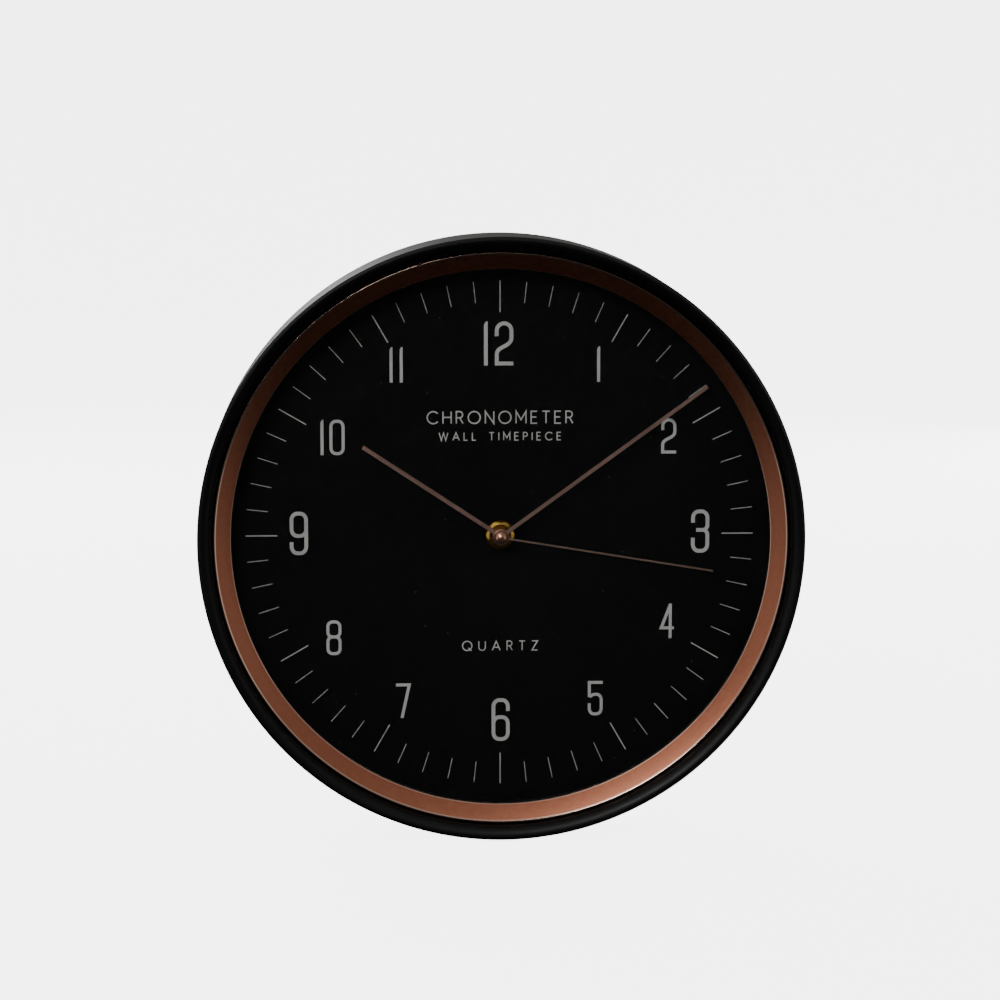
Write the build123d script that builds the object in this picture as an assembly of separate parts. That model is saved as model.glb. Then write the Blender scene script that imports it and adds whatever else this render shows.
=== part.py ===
"""Round quartz wall clock: black case, copper inner bezel, flat lens, black dial, slim hands and a
battery quartz movement with its gear train.

Frame: the origin is on the wall plane, on the dial axis. +Z is up, +X is to the right of a person who
faces the clock, and the dial faces -Y. Millimetres. Most depths are given as a stand-off, the distance
in front of the wall, so a stand-off of 20 is Y = -20.
"""

from build123d import *
from math import acos, cos, pi, radians, sin, sqrt, tan, degrees, atan2
import os

# ---------------------------------------------------------------- driving dimensions: case and front
CASE_RADIUS = 150.0          # outside of the case at the wall
CASE_DEPTH = 50.0            # wall to the crest of the front lip
CASE_WALL = 2.6              # side wall of the case
LIP_CREST_INSET = 1.7        # the crest stands this far inside the outer radius
LIP_CHAMFER_DROP = 1.8       # height of the narrow outer chamfer of the lip
LIP_INNER_ROUND = 4.5        # radius of the rounded inner side of the lip
LIP_INNER_WALL = 1.9         # wall that drops from the lip to the ledge
LEDGE_INNER_RADIUS = 136.3   # inner edge of the ledge that carries the copper ring
LEDGE_THICKNESS = 1.2
SIDE_DRAFT = 0.3             # the side wall leans in by this much over its height

BEZEL_OPENING_RADIUS = 133.4  # visible opening in the copper ring
BEZEL_CREST_RADIUS = 141.9
BEZEL_RISE = 5.6             # height of the copper cone
BEZEL_SHEET = 0.8            # thickness of the spun ring
BEZEL_EDGE_LIFT = 1.0        # front of the ring's inner edge, in front of the lens
BEZEL_GAP = 0.6              # dark gap between the ring and the case
BEZEL_CREST_ROUND = 0.6
TAB_COUNT = 6
TAB_WIDTH = 8.0
TAB_REACH = 3.0              # length of the bent end of a tab, behind the ledge
TAB_CLEARANCE = 0.2

LENS_RADIUS = 138.0
LENS_THICKNESS = 2.0
LENS_EDGE_CHAMFER = 0.3
GASKET_THICKNESS = 0.6
GASKET_WIDTH = 2.0
SPACER_WALL = 1.5
SPACER_SEAT = 3.3            # width of the step that the lens sits on
DIAL_THICKNESS = 1.0
BACK_PLATE_THICKNESS = 2.5
RIB_WIDTH = 1.6              # stiffening ribs behind the back plate
RIB_HEIGHT = 3.0
RIB_INNER_RADIUS = 62.0
RIB_OUTER_RADIUS = 126.0
SPOKE_COUNT = 12
DIAL_TO_LENS = 14.9          # room for the hands
RADIAL_CLEARANCE = 0.3       # between round pieces that drop into one another

# ---------------------------------------------------------------- driving dimensions: fasteners
SCREW_COUNT = 6
SCREW_CIRCLE_RADIUS = 143.6
SCREW_SHANK_RADIUS = 1.4
SCREW_LENGTH = 12.0
SCREW_HEAD_RADIUS = 2.9
SCREW_HEAD_HEIGHT = 1.9
SCREW_HEAD_ROUND = 0.8
SCREW_HEAD_ROOM = 0.8        # free ring round each head in the back plate's rim rib
SCREW_SLOT_WIDTH = 0.8
SCREW_SLOT_LENGTH = 3.6
SCREW_SLOT_DEPTH = 0.9
SCREW_TIP_CHAMFER = 0.5
SCREW_END_GAP = 0.5          # left between the screw's tip and the bottom of its hole
BOSS_RADIUS = 3.4
SCREW_HOLE_CLEARANCE = 0.25

HANGER_HEIGHT = 100.0        # height of the keyhole above the dial axis
HANGER_SHEET = 1.5
HANGER_WIDTH = 26.0
HANGER_LENGTH = 34.0         # along Z
HANGER_STANDOFF = 1.5        # rear face of the hanger, in front of the wall
HANGER_FOOT = 9.0
HANGER_ROOM = 1.0            # the back plate's ribs stop this far from the hanger
KEYHOLE_RADIUS = 4.5
KEYHOLE_SLOT_WIDTH = 4.8
KEYHOLE_SLOT_RISE = 9.0
HANGER_SCREW_LENGTH = 3.6

# ---------------------------------------------------------------- driving dimensions: movement
MOVEMENT_WIDTH = 56.0
MOVEMENT_HEIGHT = 56.0
MOVEMENT_BACK = 0.5          # stand-off of its rear face
MOVEMENT_TOP = 27.4          # height of its top above the shafts
MOVEMENT_WALL = 1.2
MOVEMENT_CORNER = 3.0
COVER_THICKNESS = 1.3
COVER_CLEARANCE = 0.1
BATTERY_RADIUS = 7.1
BATTERY_LENGTH = 50.5
BATTERY_NUB_RADIUS = 2.75
BATTERY_NUB_LENGTH = 1.0
BATTERY_CLEARANCE = 0.4
BAY_WALL = 0.9
BAY_FLOOR = 1.0

STRIP_THICKNESS = 0.4        # battery contacts are cut from this strip
STRIP_WIDTH = 1.6
STRIP_CLEARANCE = 0.2
LEAF_WIDTH = 5.0             # bowed spring of the negative contact
TAB_LENGTH = 2.0             # how far the positive contact reaches over the board
CONTACT_HEIGHT = 11.0
CONTACT_BACK_GAP = 1.5       # contact plate to the open back of the bay
CONTACT_FRONT_GAP = 0.3
CONTACT_DIMPLE_RADIUS = 1.6
CONTACT_DIMPLE_HEIGHT = 0.5
BATTERY_SLEEVE = 0.15        # thickness of the printed film
BATTERY_SLEEVE_MARGIN = 0.5

BUSH_RADIUS = 4.0
BUSH_FLANGE_RADIUS = 5.4
BUSH_PROUD = 0.8             # bush in front of the nut
HOUR_TUBE_RADIUS = 2.5
MINUTE_SHAFT_RADIUS = 1.6
SECOND_SHAFT_RADIUS = 0.5
RUNNING_CLEARANCE = 0.05     # shaft in tube, shaft in pivot hole
PIVOT_RADIUS = 0.4
PIVOT_BOSS_RADIUS = 1.3
PIVOT_DEPTH = 0.8
REAR_BOSS_HEIGHT = 1.0
FRONT_BOSS_HEIGHT = 2.1
COVER_REST = 2.6             # corner posts that the rear cover rests on
END_SHAKE = 0.1              # axial play of the arbors

NUT_ACROSS_FLATS = 12.7
NUT_HEIGHT = 2.8
NUT_CORNER_TRIM = 0.3823     # turned off each sharp corner of the nut
NUT_CHAMFER = 0.9
WASHER_MARGIN = 0.15         # washer beyond the nut's turned corners
WASHER_THICKNESS = 0.6

# ---------------------------------------------------------------- driving dimensions: hands
HOUR_HAND_LENGTH = 81.5
MINUTE_HAND_LENGTH = 126.6
SECOND_HAND_LENGTH = 107.0
HOUR_HAND_WIDTH = 2.1
MINUTE_HAND_WIDTH = 1.9
SECOND_HAND_WIDTH = 0.9
HAND_SHEET = 0.5
HAND_EDGE_BEVEL = 0.15
HAND_BOSS_RADIUS = 3.7
COLLET_WALL = 0.7
SECOND_COLLET_WALL = 0.4
SECOND_EYE_RADIUS = 1.6
COLLET_HEIGHT = 1.4
HAND_GAP = 0.6               # between one hand's collet and the hand behind it
SHAFT_PROUD = 0.2            # tubes and shafts in front of their hands
CAP_FLANGE_RADIUS = 3.9
CAP_DOME_RADIUS = 3.1
CAP_DOME_HEIGHT = 1.75
CAP_BRIM = 0.5
# Clockwise from twelve, in degrees: the clock is stored showing about nine minutes past ten.
HOUR_HAND_ANGLE = 303.3
MINUTE_HAND_ANGLE = 54.0
SECOND_HAND_ANGLE = 99.3

# ---------------------------------------------------------------- driving dimensions: gear train
PRESSURE_ANGLE = radians(30)
TOOTH_SHARE = 0.45           # tooth thickness as a share of the pitch, so the train has backlash
ADDENDUM = 0.8
DEDENDUM = 1.05
CANNON_TEETH, MOTION_TEETH = 12, 36
MOTION_PINION_TEETH, HOUR_TEETH = 10, 40
KNOB_TEETH = 12
ROTOR_TEETH, INTERMEDIATE_TEETH = 8, 32
INTERMEDIATE_PINION_TEETH, SECOND_TEETH = 8, 60
SECOND_PINION_TEETH, THIRD_TEETH = 8, 60
THIRD_PINION_TEETH, CENTRE_TEETH = 8, 64
MOTION_MODULE = 0.40         # cannon pinion, motion wheel and knob pinion
THIRD_PINION_MODULE = 0.33   # third pinion and centre wheel
SECOND_WHEEL_MODULE = 0.36   # intermediate pinion and second wheel
ROTOR_MODULE = 0.30          # rotor pinion and intermediate wheel
MOTION_BEARING = 100.0       # direction of each axis from the one it meshes with, in degrees
KNOB_BEARING = 92.0
THIRD_BEARING = 150.0
INTERMEDIATE_BEARING = 20.0
ROTOR_BEARING = 60.0
WHEEL_THICKNESS = 1.1
ARBOR_RADIUS = 0.5
MOTION_POST_RADIUS = 0.8
WHEEL_HOLE_COUNT = 5
CENTRE_HOLE = (2.0, 6.3)     # radius of each lightening hole, and its distance from the axis
SECOND_HOLE = (2.4, 6.0)
THIRD_HOLE = (2.3, 5.8)
SECOND_HUB_RADIUS = 0.9
PINION_OVERHANG = 0.2        # a pinion is this much wider than the wheel it turns, each way
MINUTE_SHAFT_FOOT = 0.5      # minute shaft behind the centre wheel
CLUTCH_RADIUS = 3.4
CLUTCH_THICKNESS = 0.3
CLUTCH_GAP = 0.1
CLIP_RADIUS = 1.9
CLIP_THICKNESS = 0.3
KNOB_RADIUS = 6.0
KNOB_FLANGE_RADIUS = 6.8
KNOB_CLEARANCE = 0.4
KNOB_RECESS = 0.2            # knob's face in front of the movement's back
KNOB_FLUTES = 24
KNOB_FLUTE_RADIUS = 0.45
KNOB_DISH_WALL = 1.6
KNOB_DISH_DEPTH = 0.7
KNOB_GRIP_WIDTH = 1.2        # bar across the dish
KNOB_GRIP_HEIGHT = 1.0
KNOB_FLANGE_THICKNESS = 1.0
KNOB_ARBOR_RADIUS = 1.2

# ---------------------------------------------------------------- driving dimensions: motor and circuit
ROTOR_MAGNET_RADIUS = 2.8
ROTOR_AIR_GAP = 0.5
STATOR_THICKNESS = 1.4
STATOR_BAR = 8.0
STATOR_LEG_WIDTH = 2.4
STATOR_POST_RADIUS = 0.9
STATOR_POST_DROP = 3.84      # posts below the coil's axis
MAGNET_OVERHANG = 0.8        # magnet beyond the stator, each way
COIL_MIDDLE = 15.9           # X of the coil's middle
COIL_HEIGHT = 21.3           # Z of the coil's axis
COIL_LENGTH = 14.2
COIL_RADIUS = 3.1
COIL_CLEARANCE = 0.3
BOBBIN_BARREL = 1.7
BOBBIN_FLANGE = 0.6
BOBBIN_FLANGE_RISE = 0.4     # flanges stand this far above the winding
CORE_WIDTH = 2.0
CORE_THICKNESS = 1.2
BOARD_LEFT, BOARD_RIGHT = 13.6, 26.2
BOARD_LOW, BOARD_TOP = -11.3, 2.4
BOARD_THICKNESS = 1.0
BOARD_POST_RADIUS = 1.1
BOARD_POST_INSET = 2.5
BLOB_RADIUS = 2.2
BLOB_HEIGHT = 0.8
BLOB_INSET = 4.0             # from the left edge of the board
CRYSTAL_RADIUS = 1.0
CRYSTAL_LENGTH = 6.0
CRYSTAL_SIDE_INSET = 4.2     # from the right edge of the board
CRYSTAL_LOW_INSET = 2.4
CRYSTAL_ROUND = 0.3

# ---------------------------------------------------------------- the stack, from the wall forwards
MOVEMENT_FRONT = 16.5
BACK_PLATE_FRONT = MOVEMENT_FRONT + BACK_PLATE_THICKNESS
DIAL_FRONT = BACK_PLATE_FRONT + DIAL_THICKNESS
LENS_BACK = DIAL_FRONT + DIAL_TO_LENS
LENS_FRONT = LENS_BACK + LENS_THICKNESS
GASKET_FRONT = LENS_FRONT + GASKET_THICKNESS
LEDGE_FRONT = GASKET_FRONT + LEDGE_THICKNESS
CASE_INNER_RADIUS = CASE_RADIUS - CASE_WALL
LIP_CREST_RADIUS = CASE_RADIUS - LIP_CREST_INSET
BEZEL_WALL_RADIUS = BEZEL_CREST_RADIUS + BEZEL_SHEET / 2
LIP_WALL_RADIUS = BEZEL_WALL_RADIUS + BEZEL_GAP
BAY_BOTTOM = MOVEMENT_TOP - MOVEMENT_HEIGHT + BAY_FLOOR
BAY_TOP = BAY_BOTTOM + 2 * BATTERY_RADIUS + 2 * BATTERY_CLEARANCE
BAY_END = MOVEMENT_WIDTH / 2 - MOVEMENT_WALL
CHAMBER_FRONT = MOVEMENT_FRONT - MOVEMENT_WALL
CHAMBER_BACK = MOVEMENT_BACK + COVER_THICKNESS
FRONT_PIVOT = CHAMBER_FRONT - FRONT_BOSS_HEIGHT
REAR_PIVOT = CHAMBER_BACK + REAR_BOSS_HEIGHT
ARBOR_FRONT = FRONT_PIVOT - END_SHAKE
ARBOR_BACK = REAR_PIVOT + END_SHAKE

NUT_CORNER_RADIUS = NUT_ACROSS_FLATS / sqrt(3) - NUT_CORNER_TRIM
WASHER_RADIUS = NUT_CORNER_RADIUS + WASHER_MARGIN
WASHER_FRONT = DIAL_FRONT + WASHER_THICKNESS
NUT_FRONT = WASHER_FRONT + NUT_HEIGHT
BUSH_END = NUT_FRONT + BUSH_PROUD
HOUR_HAND_BACK = BUSH_END + HAND_GAP + COLLET_HEIGHT
HOUR_TUBE_END = HOUR_HAND_BACK + HAND_SHEET + SHAFT_PROUD
MINUTE_HAND_BACK = HOUR_TUBE_END + HAND_GAP + COLLET_HEIGHT
MINUTE_SHAFT_END = MINUTE_HAND_BACK + HAND_SHEET + SHAFT_PROUD
SECOND_HAND_BACK = MINUTE_SHAFT_END + HAND_GAP + COLLET_HEIGHT
SECOND_SHAFT_END = SECOND_HAND_BACK + HAND_SHEET

BATTERY_HEIGHT = BAY_BOTTOM + BATTERY_CLEARANCE + BATTERY_RADIUS
BATTERY_STANDOFF = CHAMBER_FRONT - BATTERY_CLEARANCE - BATTERY_RADIUS
BATTERY_RIGHT = BAY_END - STRIP_THICKNESS - CONTACT_DIMPLE_HEIGHT
BATTERY_LEFT = BATTERY_RIGHT - BATTERY_LENGTH
STRIP_LOW = BAY_TOP + BAY_WALL + STRIP_CLEARANCE

# Gear layers: stand-off of the rear face of each layer of wheels.
LAYER_ROTOR = 4.4
LAYER_SECOND = 6.4
LAYER_THIRD = 8.35
LAYER_CENTRE = 10.25
LAYER_MOTION = 12.3
LAYER_HOUR = 13.85
STATOR_BACK = 8.4
ROTOR_MAGNET_BACK = STATOR_BACK - MAGNET_OVERHANG
ROTOR_MAGNET_FRONT = STATOR_BACK + STATOR_THICKNESS + MAGNET_OVERHANG
BOARD_BACK = 12.0
BOARD_FRONT = BOARD_BACK + BOARD_THICKNESS

OUT = "parts"
os.makedirs(OUT, exist_ok=True)


def save(name, shape):
    """Writes one named piece."""
    export_step(shape, f"{OUT}/{name}.step")


def join(pieces):
    """One compound of separate, identical solids."""
    return Compound(children=list(pieces))


def lathe(points, rounds=()):
    """A turned piece about the dial axis from (radius, stand-off) corners. rounds is (corner, radius)."""
    face = make_face(Polyline(*[(r, -d) for r, d in points], close=True))
    for number, radius in rounds:
        r, d = points[number]
        corner = min(face.vertices(), key=lambda v: (v.X - r) ** 2 + (v.Y + d) ** 2)
        face = fillet(corner, radius)
    return revolve(face, Axis.Y)


def tube(outer, inner, back, front):
    """A plain tube about the dial axis between two stand-offs; inner 0 gives a rod."""
    return lathe([(inner, back), (outer, back), (outer, front), (inner, front)])


def plate(sketch, back, thickness):
    """Extrudes a sketch of (X, Z) towards the front from a stand-off."""
    return extrude(Plane.XZ.offset(back) * sketch, thickness)


def rod(radius, back, front, at=(0, 0)):
    """A cylinder parallel to the dial axis at a point (X, Z)."""
    return plate(Pos(*at) * Circle(radius), back, front - back)


def block(x0, x1, z0, z1, back, front):
    """A box from its X, Z and stand-off limits."""
    return plate(Pos((x0 + x1) / 2, (z0 + z1) / 2) * Rectangle(x1 - x0, z1 - z0), back, front - back)


def place(piece, at):
    """Moves a piece made on the dial axis to another axis at (X, Z)."""
    return Pos(at[0], 0, at[1]) * piece


def polar(start, distance, bearing):
    """The point at a distance and bearing (degrees from +X, towards +Z) from another."""
    a = radians(bearing)
    return (start[0] + distance * cos(a), start[1] + distance * sin(a))


# ---------------------------------------------------------------- case, bezel, lens, dial
def screw_points():
    """The (X, Z) points of the case screws."""
    return [polar((0, 0), SCREW_CIRCLE_RADIUS, 30 + 360 / SCREW_COUNT * i) for i in range(SCREW_COUNT)]


def make_case_rim():
    """Moulded case: side wall, rounded lip, ledge for the copper ring and the lens, and screw bosses."""
    lip_start = CASE_DEPTH - LIP_INNER_ROUND
    lip_edge = CASE_DEPTH - LIP_CHAMFER_DROP
    groove_top = lip_edge - CASE_WALL
    groove_inner = LIP_WALL_RADIUS + LIP_INNER_WALL
    lip_width = LIP_CREST_RADIUS - LIP_WALL_RADIUS
    outline = [
        Line((CASE_RADIUS, 0), (CASE_RADIUS - SIDE_DRAFT, -lip_edge)),
        Line((CASE_RADIUS - SIDE_DRAFT, -lip_edge), (LIP_CREST_RADIUS, -CASE_DEPTH)),
        EllipticalCenterArc((LIP_CREST_RADIUS, -lip_start), lip_width, LIP_INNER_ROUND, 180, arc_size=90),
        Polyline(
            (LIP_WALL_RADIUS, -lip_start),
            (LIP_WALL_RADIUS, -LEDGE_FRONT),
            (LEDGE_INNER_RADIUS, -LEDGE_FRONT),
            (LEDGE_INNER_RADIUS, -GASKET_FRONT),
            (groove_inner, -GASKET_FRONT),
            (groove_inner, -groove_top),
            (CASE_INNER_RADIUS, -groove_top),
            (CASE_INNER_RADIUS, 0),
            (CASE_RADIUS, 0),
        ),
    ]
    rim = revolve(make_face(Curve() + outline), Axis.Y)
    boss_front = GASKET_FRONT + LEDGE_THICKNESS / 2
    reach = CASE_INNER_RADIUS + CASE_WALL / 2 - SCREW_CIRCLE_RADIUS
    for x, z in screw_points():
        bearing = degrees(atan2(z, x))
        web = Rot(0, 0, bearing) * Pos(SCREW_CIRCLE_RADIUS + reach / 2, 0) * Rectangle(reach, 2 * BOSS_RADIUS)
        rim += plate(web, BACK_PLATE_FRONT, boss_front - BACK_PLATE_FRONT)
        rim += rod(BOSS_RADIUS, BACK_PLATE_FRONT, boss_front, (x, z))
    hole_depth = SCREW_LENGTH - BACK_PLATE_THICKNESS
    for at in screw_points():
        rim -= rod(SCREW_SHANK_RADIUS, BACK_PLATE_FRONT, BACK_PLATE_FRONT + hole_depth, at)
    slot = Rectangle(BEZEL_SHEET + 2 * TAB_CLEARANCE, TAB_WIDTH + 2 * TAB_CLEARANCE)
    for at in tab_places():
        rim -= plate(at * slot, GASKET_FRONT, LEDGE_THICKNESS)
    return rim


def tab_places():
    """Where each tab of the copper ring passes through the ledge, between the screws."""
    radius = BEZEL_WALL_RADIUS - BEZEL_SHEET / 2
    return [Rot(0, 0, 360 / TAB_COUNT * i) * Pos(radius, 0) for i in range(TAB_COUNT)]


def make_bezel_ring():
    """Spun copper ring: cone, rounded crest, outer wall, and tabs bent over behind the ledge."""
    run = BEZEL_CREST_RADIUS - BEZEL_OPENING_RADIUS
    slope = sqrt(run**2 + BEZEL_RISE**2)
    normal = (BEZEL_RISE / slope * BEZEL_SHEET, run / slope * BEZEL_SHEET)
    edge_front = LENS_FRONT + BEZEL_EDGE_LIFT
    crest_front = edge_front + BEZEL_RISE
    inner_wall = BEZEL_WALL_RADIUS - BEZEL_SHEET
    under_edge = (BEZEL_OPENING_RADIUS + normal[0], edge_front - normal[1])
    under_crest = under_edge[1] + (inner_wall - under_edge[0]) * BEZEL_RISE / run
    points = [
        (BEZEL_OPENING_RADIUS, edge_front),
        (BEZEL_CREST_RADIUS, crest_front),
        (BEZEL_WALL_RADIUS, crest_front - BEZEL_SHEET / 3),
        (BEZEL_WALL_RADIUS, LEDGE_FRONT),
        (inner_wall, LEDGE_FRONT),
        (inner_wall, under_crest),
        under_edge,
    ]
    ring = lathe(points, rounds=[(1, BEZEL_CREST_ROUND)])
    for at in tab_places():
        ring += plate(at * Rectangle(BEZEL_SHEET, TAB_WIDTH), GASKET_FRONT, LEDGE_THICKNESS + BEZEL_SHEET / 2)
        bent = Pos((BEZEL_SHEET - TAB_REACH) / 2, 0) * Rectangle(TAB_REACH, TAB_WIDTH)
        ring += plate(at * bent, GASKET_FRONT - BEZEL_SHEET / 2, BEZEL_SHEET / 2)
    return ring


def make_lens_gasket():
    """Soft ring between the lens and the ledge."""
    outer = LENS_RADIUS - RADIAL_CLEARANCE
    return tube(outer, outer - GASKET_WIDTH, LENS_FRONT, GASKET_FRONT)


def make_lens():
    """Flat mineral glass disc with a fine ground edge."""
    edge = LENS_EDGE_CHAMFER
    r = LENS_RADIUS
    return lathe(
        [
            (0, LENS_BACK),
            (r - edge, LENS_BACK),
            (r, LENS_BACK + edge),
            (r, LENS_FRONT - edge),
            (r - edge, LENS_FRONT),
            (0, LENS_FRONT),
        ]
    )


def make_spacer_ring():
    """Black ring that stands on the dial and seats the lens in its step."""
    seat = LENS_RADIUS + RADIAL_CLEARANCE
    inner = seat - SPACER_SEAT
    points = [
        (inner, DIAL_FRONT),
        (inner, LENS_BACK),
        (seat, LENS_BACK),
        (seat, LENS_FRONT),
        (seat + SPACER_WALL, LENS_FRONT),
        (seat + SPACER_WALL, LENS_BACK - SPACER_WALL),
        (inner + SPACER_WALL, LENS_BACK - SPACER_WALL),
        (inner + SPACER_WALL, DIAL_FRONT),
    ]
    return lathe(points)


def make_dial():
    """Flat dial disc, clamped between the back plate and the spacer ring."""
    radius = SCREW_CIRCLE_RADIUS - BOSS_RADIUS - RADIAL_CLEARANCE
    return tube(radius, BUSH_RADIUS + SCREW_HOLE_CLEARANCE, BACK_PLATE_FRONT, DIAL_FRONT)


def make_back_plate():
    """Moulded back plate with stiffening ribs, screw holes and a hole for the bush."""
    radius = CASE_INNER_RADIUS - RADIAL_CLEARANCE
    body = tube(radius, BUSH_RADIUS + SCREW_HOLE_CLEARANCE, MOVEMENT_FRONT, BACK_PLATE_FRONT)
    rib_back = MOVEMENT_FRONT - RIB_HEIGHT
    for rib_radius in (RIB_INNER_RADIUS, RIB_OUTER_RADIUS):
        body += tube(rib_radius + RIB_WIDTH / 2, rib_radius - RIB_WIDTH / 2, rib_back, MOVEMENT_FRONT)
    spoke = Pos((RIB_INNER_RADIUS + RIB_OUTER_RADIUS) / 2, 0)
    spoke *= Rectangle(RIB_OUTER_RADIUS - RIB_INNER_RADIUS, RIB_WIDTH)
    for i in range(SPOKE_COUNT):
        body += plate(Rot(0, 0, 360 / SPOKE_COUNT * (i + 0.5)) * spoke, rib_back, RIB_HEIGHT)
    body += tube(radius, radius - RIB_WIDTH, rib_back, MOVEMENT_FRONT)
    hanger = block(
        -HANGER_WIDTH / 2 - HANGER_FOOT - HANGER_ROOM,
        HANGER_WIDTH / 2 + HANGER_FOOT + HANGER_ROOM,
        HANGER_HEIGHT - HANGER_LENGTH / 2 - HANGER_ROOM,
        HANGER_HEIGHT + HANGER_LENGTH / 2 + HANGER_ROOM,
        rib_back,
        MOVEMENT_FRONT,
    )
    body -= hanger
    head_room = SCREW_HEAD_RADIUS + SCREW_HEAD_ROOM
    for at in screw_points():
        body -= rod(head_room, rib_back, MOVEMENT_FRONT, at)
        body -= rod(SCREW_SHANK_RADIUS + SCREW_HOLE_CLEARANCE, MOVEMENT_FRONT, BACK_PLATE_FRONT, at)
    for at in hanger_screw_points():
        body -= rod(SCREW_SHANK_RADIUS, MOVEMENT_FRONT, BACK_PLATE_FRONT, at)
    return body


def make_screw(length, at, head_back):
    """Cross-head screw that points to the front, with the back of its head at a stand-off."""
    seat = head_back + SCREW_HEAD_HEIGHT
    head = rod(SCREW_HEAD_RADIUS, head_back, seat, at)
    rim = head.edges().filter_by(GeomType.CIRCLE).sort_by(Axis.Y)[-1]
    head = fillet(rim, SCREW_HEAD_ROUND)
    slot = Rectangle(SCREW_SLOT_LENGTH, SCREW_SLOT_WIDTH)
    for turn in (0, 90):
        head -= plate(Pos(*at) * Rot(0, 0, turn) * slot, head_back, SCREW_SLOT_DEPTH)
    shank = rod(SCREW_SHANK_RADIUS, seat, seat + length, at)
    tip = shank.edges().filter_by(GeomType.CIRCLE).sort_by(Axis.Y)[0]
    return head + chamfer(tip, SCREW_TIP_CHAMFER)


def make_back_screws():
    """The screws that close the case from behind."""
    back = MOVEMENT_FRONT - SCREW_HEAD_HEIGHT
    return join(make_screw(SCREW_LENGTH - SCREW_END_GAP, at, back) for at in screw_points())


# ---------------------------------------------------------------- hanger
def hanger_screw_points():
    """The (X, Z) points of the two hanger screws, one in each foot."""
    side = HANGER_WIDTH / 2 + HANGER_FOOT / 2
    return [(-side, HANGER_HEIGHT), (side, HANGER_HEIGHT)]


def make_hanger():
    """Pressed steel bracket: a bridge with the keyhole near the wall, two legs and two feet."""
    low = HANGER_HEIGHT - HANGER_LENGTH / 2
    high = HANGER_HEIGHT + HANGER_LENGTH / 2
    half = HANGER_WIDTH / 2
    t = HANGER_SHEET
    foot_back = MOVEMENT_FRONT - t
    bracket = block(-half, half, low, high, HANGER_STANDOFF, HANGER_STANDOFF + t)
    for side in (-1, 1):
        x0, x1 = sorted((side * half, side * (half - t)))
        bracket += block(x0, x1, low, high, HANGER_STANDOFF, MOVEMENT_FRONT)
        x0, x1 = sorted((side * (half - t), side * (half + HANGER_FOOT)))
        bracket += block(x0, x1, low, high, foot_back, MOVEMENT_FRONT)
    keyhole = Pos(0, HANGER_HEIGHT) * Circle(KEYHOLE_RADIUS)
    keyhole += Pos(0, HANGER_HEIGHT + KEYHOLE_SLOT_RISE / 2) * Rectangle(KEYHOLE_SLOT_WIDTH, KEYHOLE_SLOT_RISE)
    keyhole += Pos(0, HANGER_HEIGHT + KEYHOLE_SLOT_RISE) * Circle(KEYHOLE_SLOT_WIDTH / 2)
    bracket -= plate(keyhole, HANGER_STANDOFF, t)
    for at in hanger_screw_points():
        bracket -= rod(SCREW_SHANK_RADIUS + SCREW_HOLE_CLEARANCE, foot_back, MOVEMENT_FRONT, at)
    return bracket


def make_hanger_screws():
    """Two screws through the hanger's feet."""
    back = MOVEMENT_FRONT - HANGER_SHEET - SCREW_HEAD_HEIGHT
    return join(make_screw(HANGER_SCREW_LENGTH, at, back) for at in hanger_screw_points())


# ---------------------------------------------------------------- gear geometry
def gear_outline(teeth, module, phase):
    """(X, Z) corners of a spur gear with one tooth centred on the angle phase, in radians from +X."""
    pitch = teeth * module / 2
    base = pitch * cos(PRESSURE_ANGLE)
    root = pitch - DEDENDUM * module
    tip = pitch + ADDENDUM * module
    involute = tan(PRESSURE_ANGLE) - PRESSURE_ANGLE

    def half_angle(radius):
        at = acos(min(1.0, base / radius))
        return TOOTH_SHARE * pi / teeth + involute - (tan(at) - at)

    flank = [(r, half_angle(max(r, base))) for r in (root, max(base, root + 0.01), (pitch + tip) / 2, tip)]
    points = []
    for i in range(teeth):
        centre = phase + 2 * pi * i / teeth
        points += [(r, centre - a) for r, a in flank]
        points += [(r, centre + a) for r, a in reversed(flank)]
    return [(r * cos(a), r * sin(a)) for r, a in points]


def gear(teeth, module, phase, back, thickness, at=(0, 0)):
    """A toothed disc at (X, Z)."""
    face = make_face(Polyline(*gear_outline(teeth, module, phase), close=True))
    return plate(Pos(*at) * face, back, thickness)


def meshed_phase(phase, teeth, bearing, other_teeth):
    """The phase of a gear that lies at a bearing from one with this phase, so that their teeth mesh."""
    line = radians(bearing)
    first = (line - phase) * teeth / (2 * pi)
    return line + pi + (first + 0.5) * 2 * pi / other_teeth


THIRD_DISTANCE = (THIRD_PINION_TEETH + CENTRE_TEETH) / 2 * THIRD_PINION_MODULE
THIRD_MODULE = THIRD_DISTANCE * 2 / (SECOND_PINION_TEETH + THIRD_TEETH)
MOTION_DISTANCE = (CANNON_TEETH + MOTION_TEETH) / 2 * MOTION_MODULE
HOUR_MODULE = MOTION_DISTANCE * 2 / (MOTION_PINION_TEETH + HOUR_TEETH)
KNOB_DISTANCE = (MOTION_TEETH + KNOB_TEETH) / 2 * MOTION_MODULE
INTERMEDIATE_DISTANCE = (INTERMEDIATE_PINION_TEETH + SECOND_TEETH) / 2 * SECOND_WHEEL_MODULE
ROTOR_DISTANCE = (ROTOR_TEETH + INTERMEDIATE_TEETH) / 2 * ROTOR_MODULE

CENTRE_AXIS = (0.0, 0.0)
MOTION_AXIS = polar(CENTRE_AXIS, MOTION_DISTANCE, MOTION_BEARING)
KNOB_AXIS = polar(MOTION_AXIS, KNOB_DISTANCE, KNOB_BEARING)
THIRD_AXIS = polar(CENTRE_AXIS, THIRD_DISTANCE, THIRD_BEARING)
INTERMEDIATE_AXIS = polar(CENTRE_AXIS, INTERMEDIATE_DISTANCE, INTERMEDIATE_BEARING)
ROTOR_AXIS = polar(INTERMEDIATE_AXIS, ROTOR_DISTANCE, ROTOR_BEARING)

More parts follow.
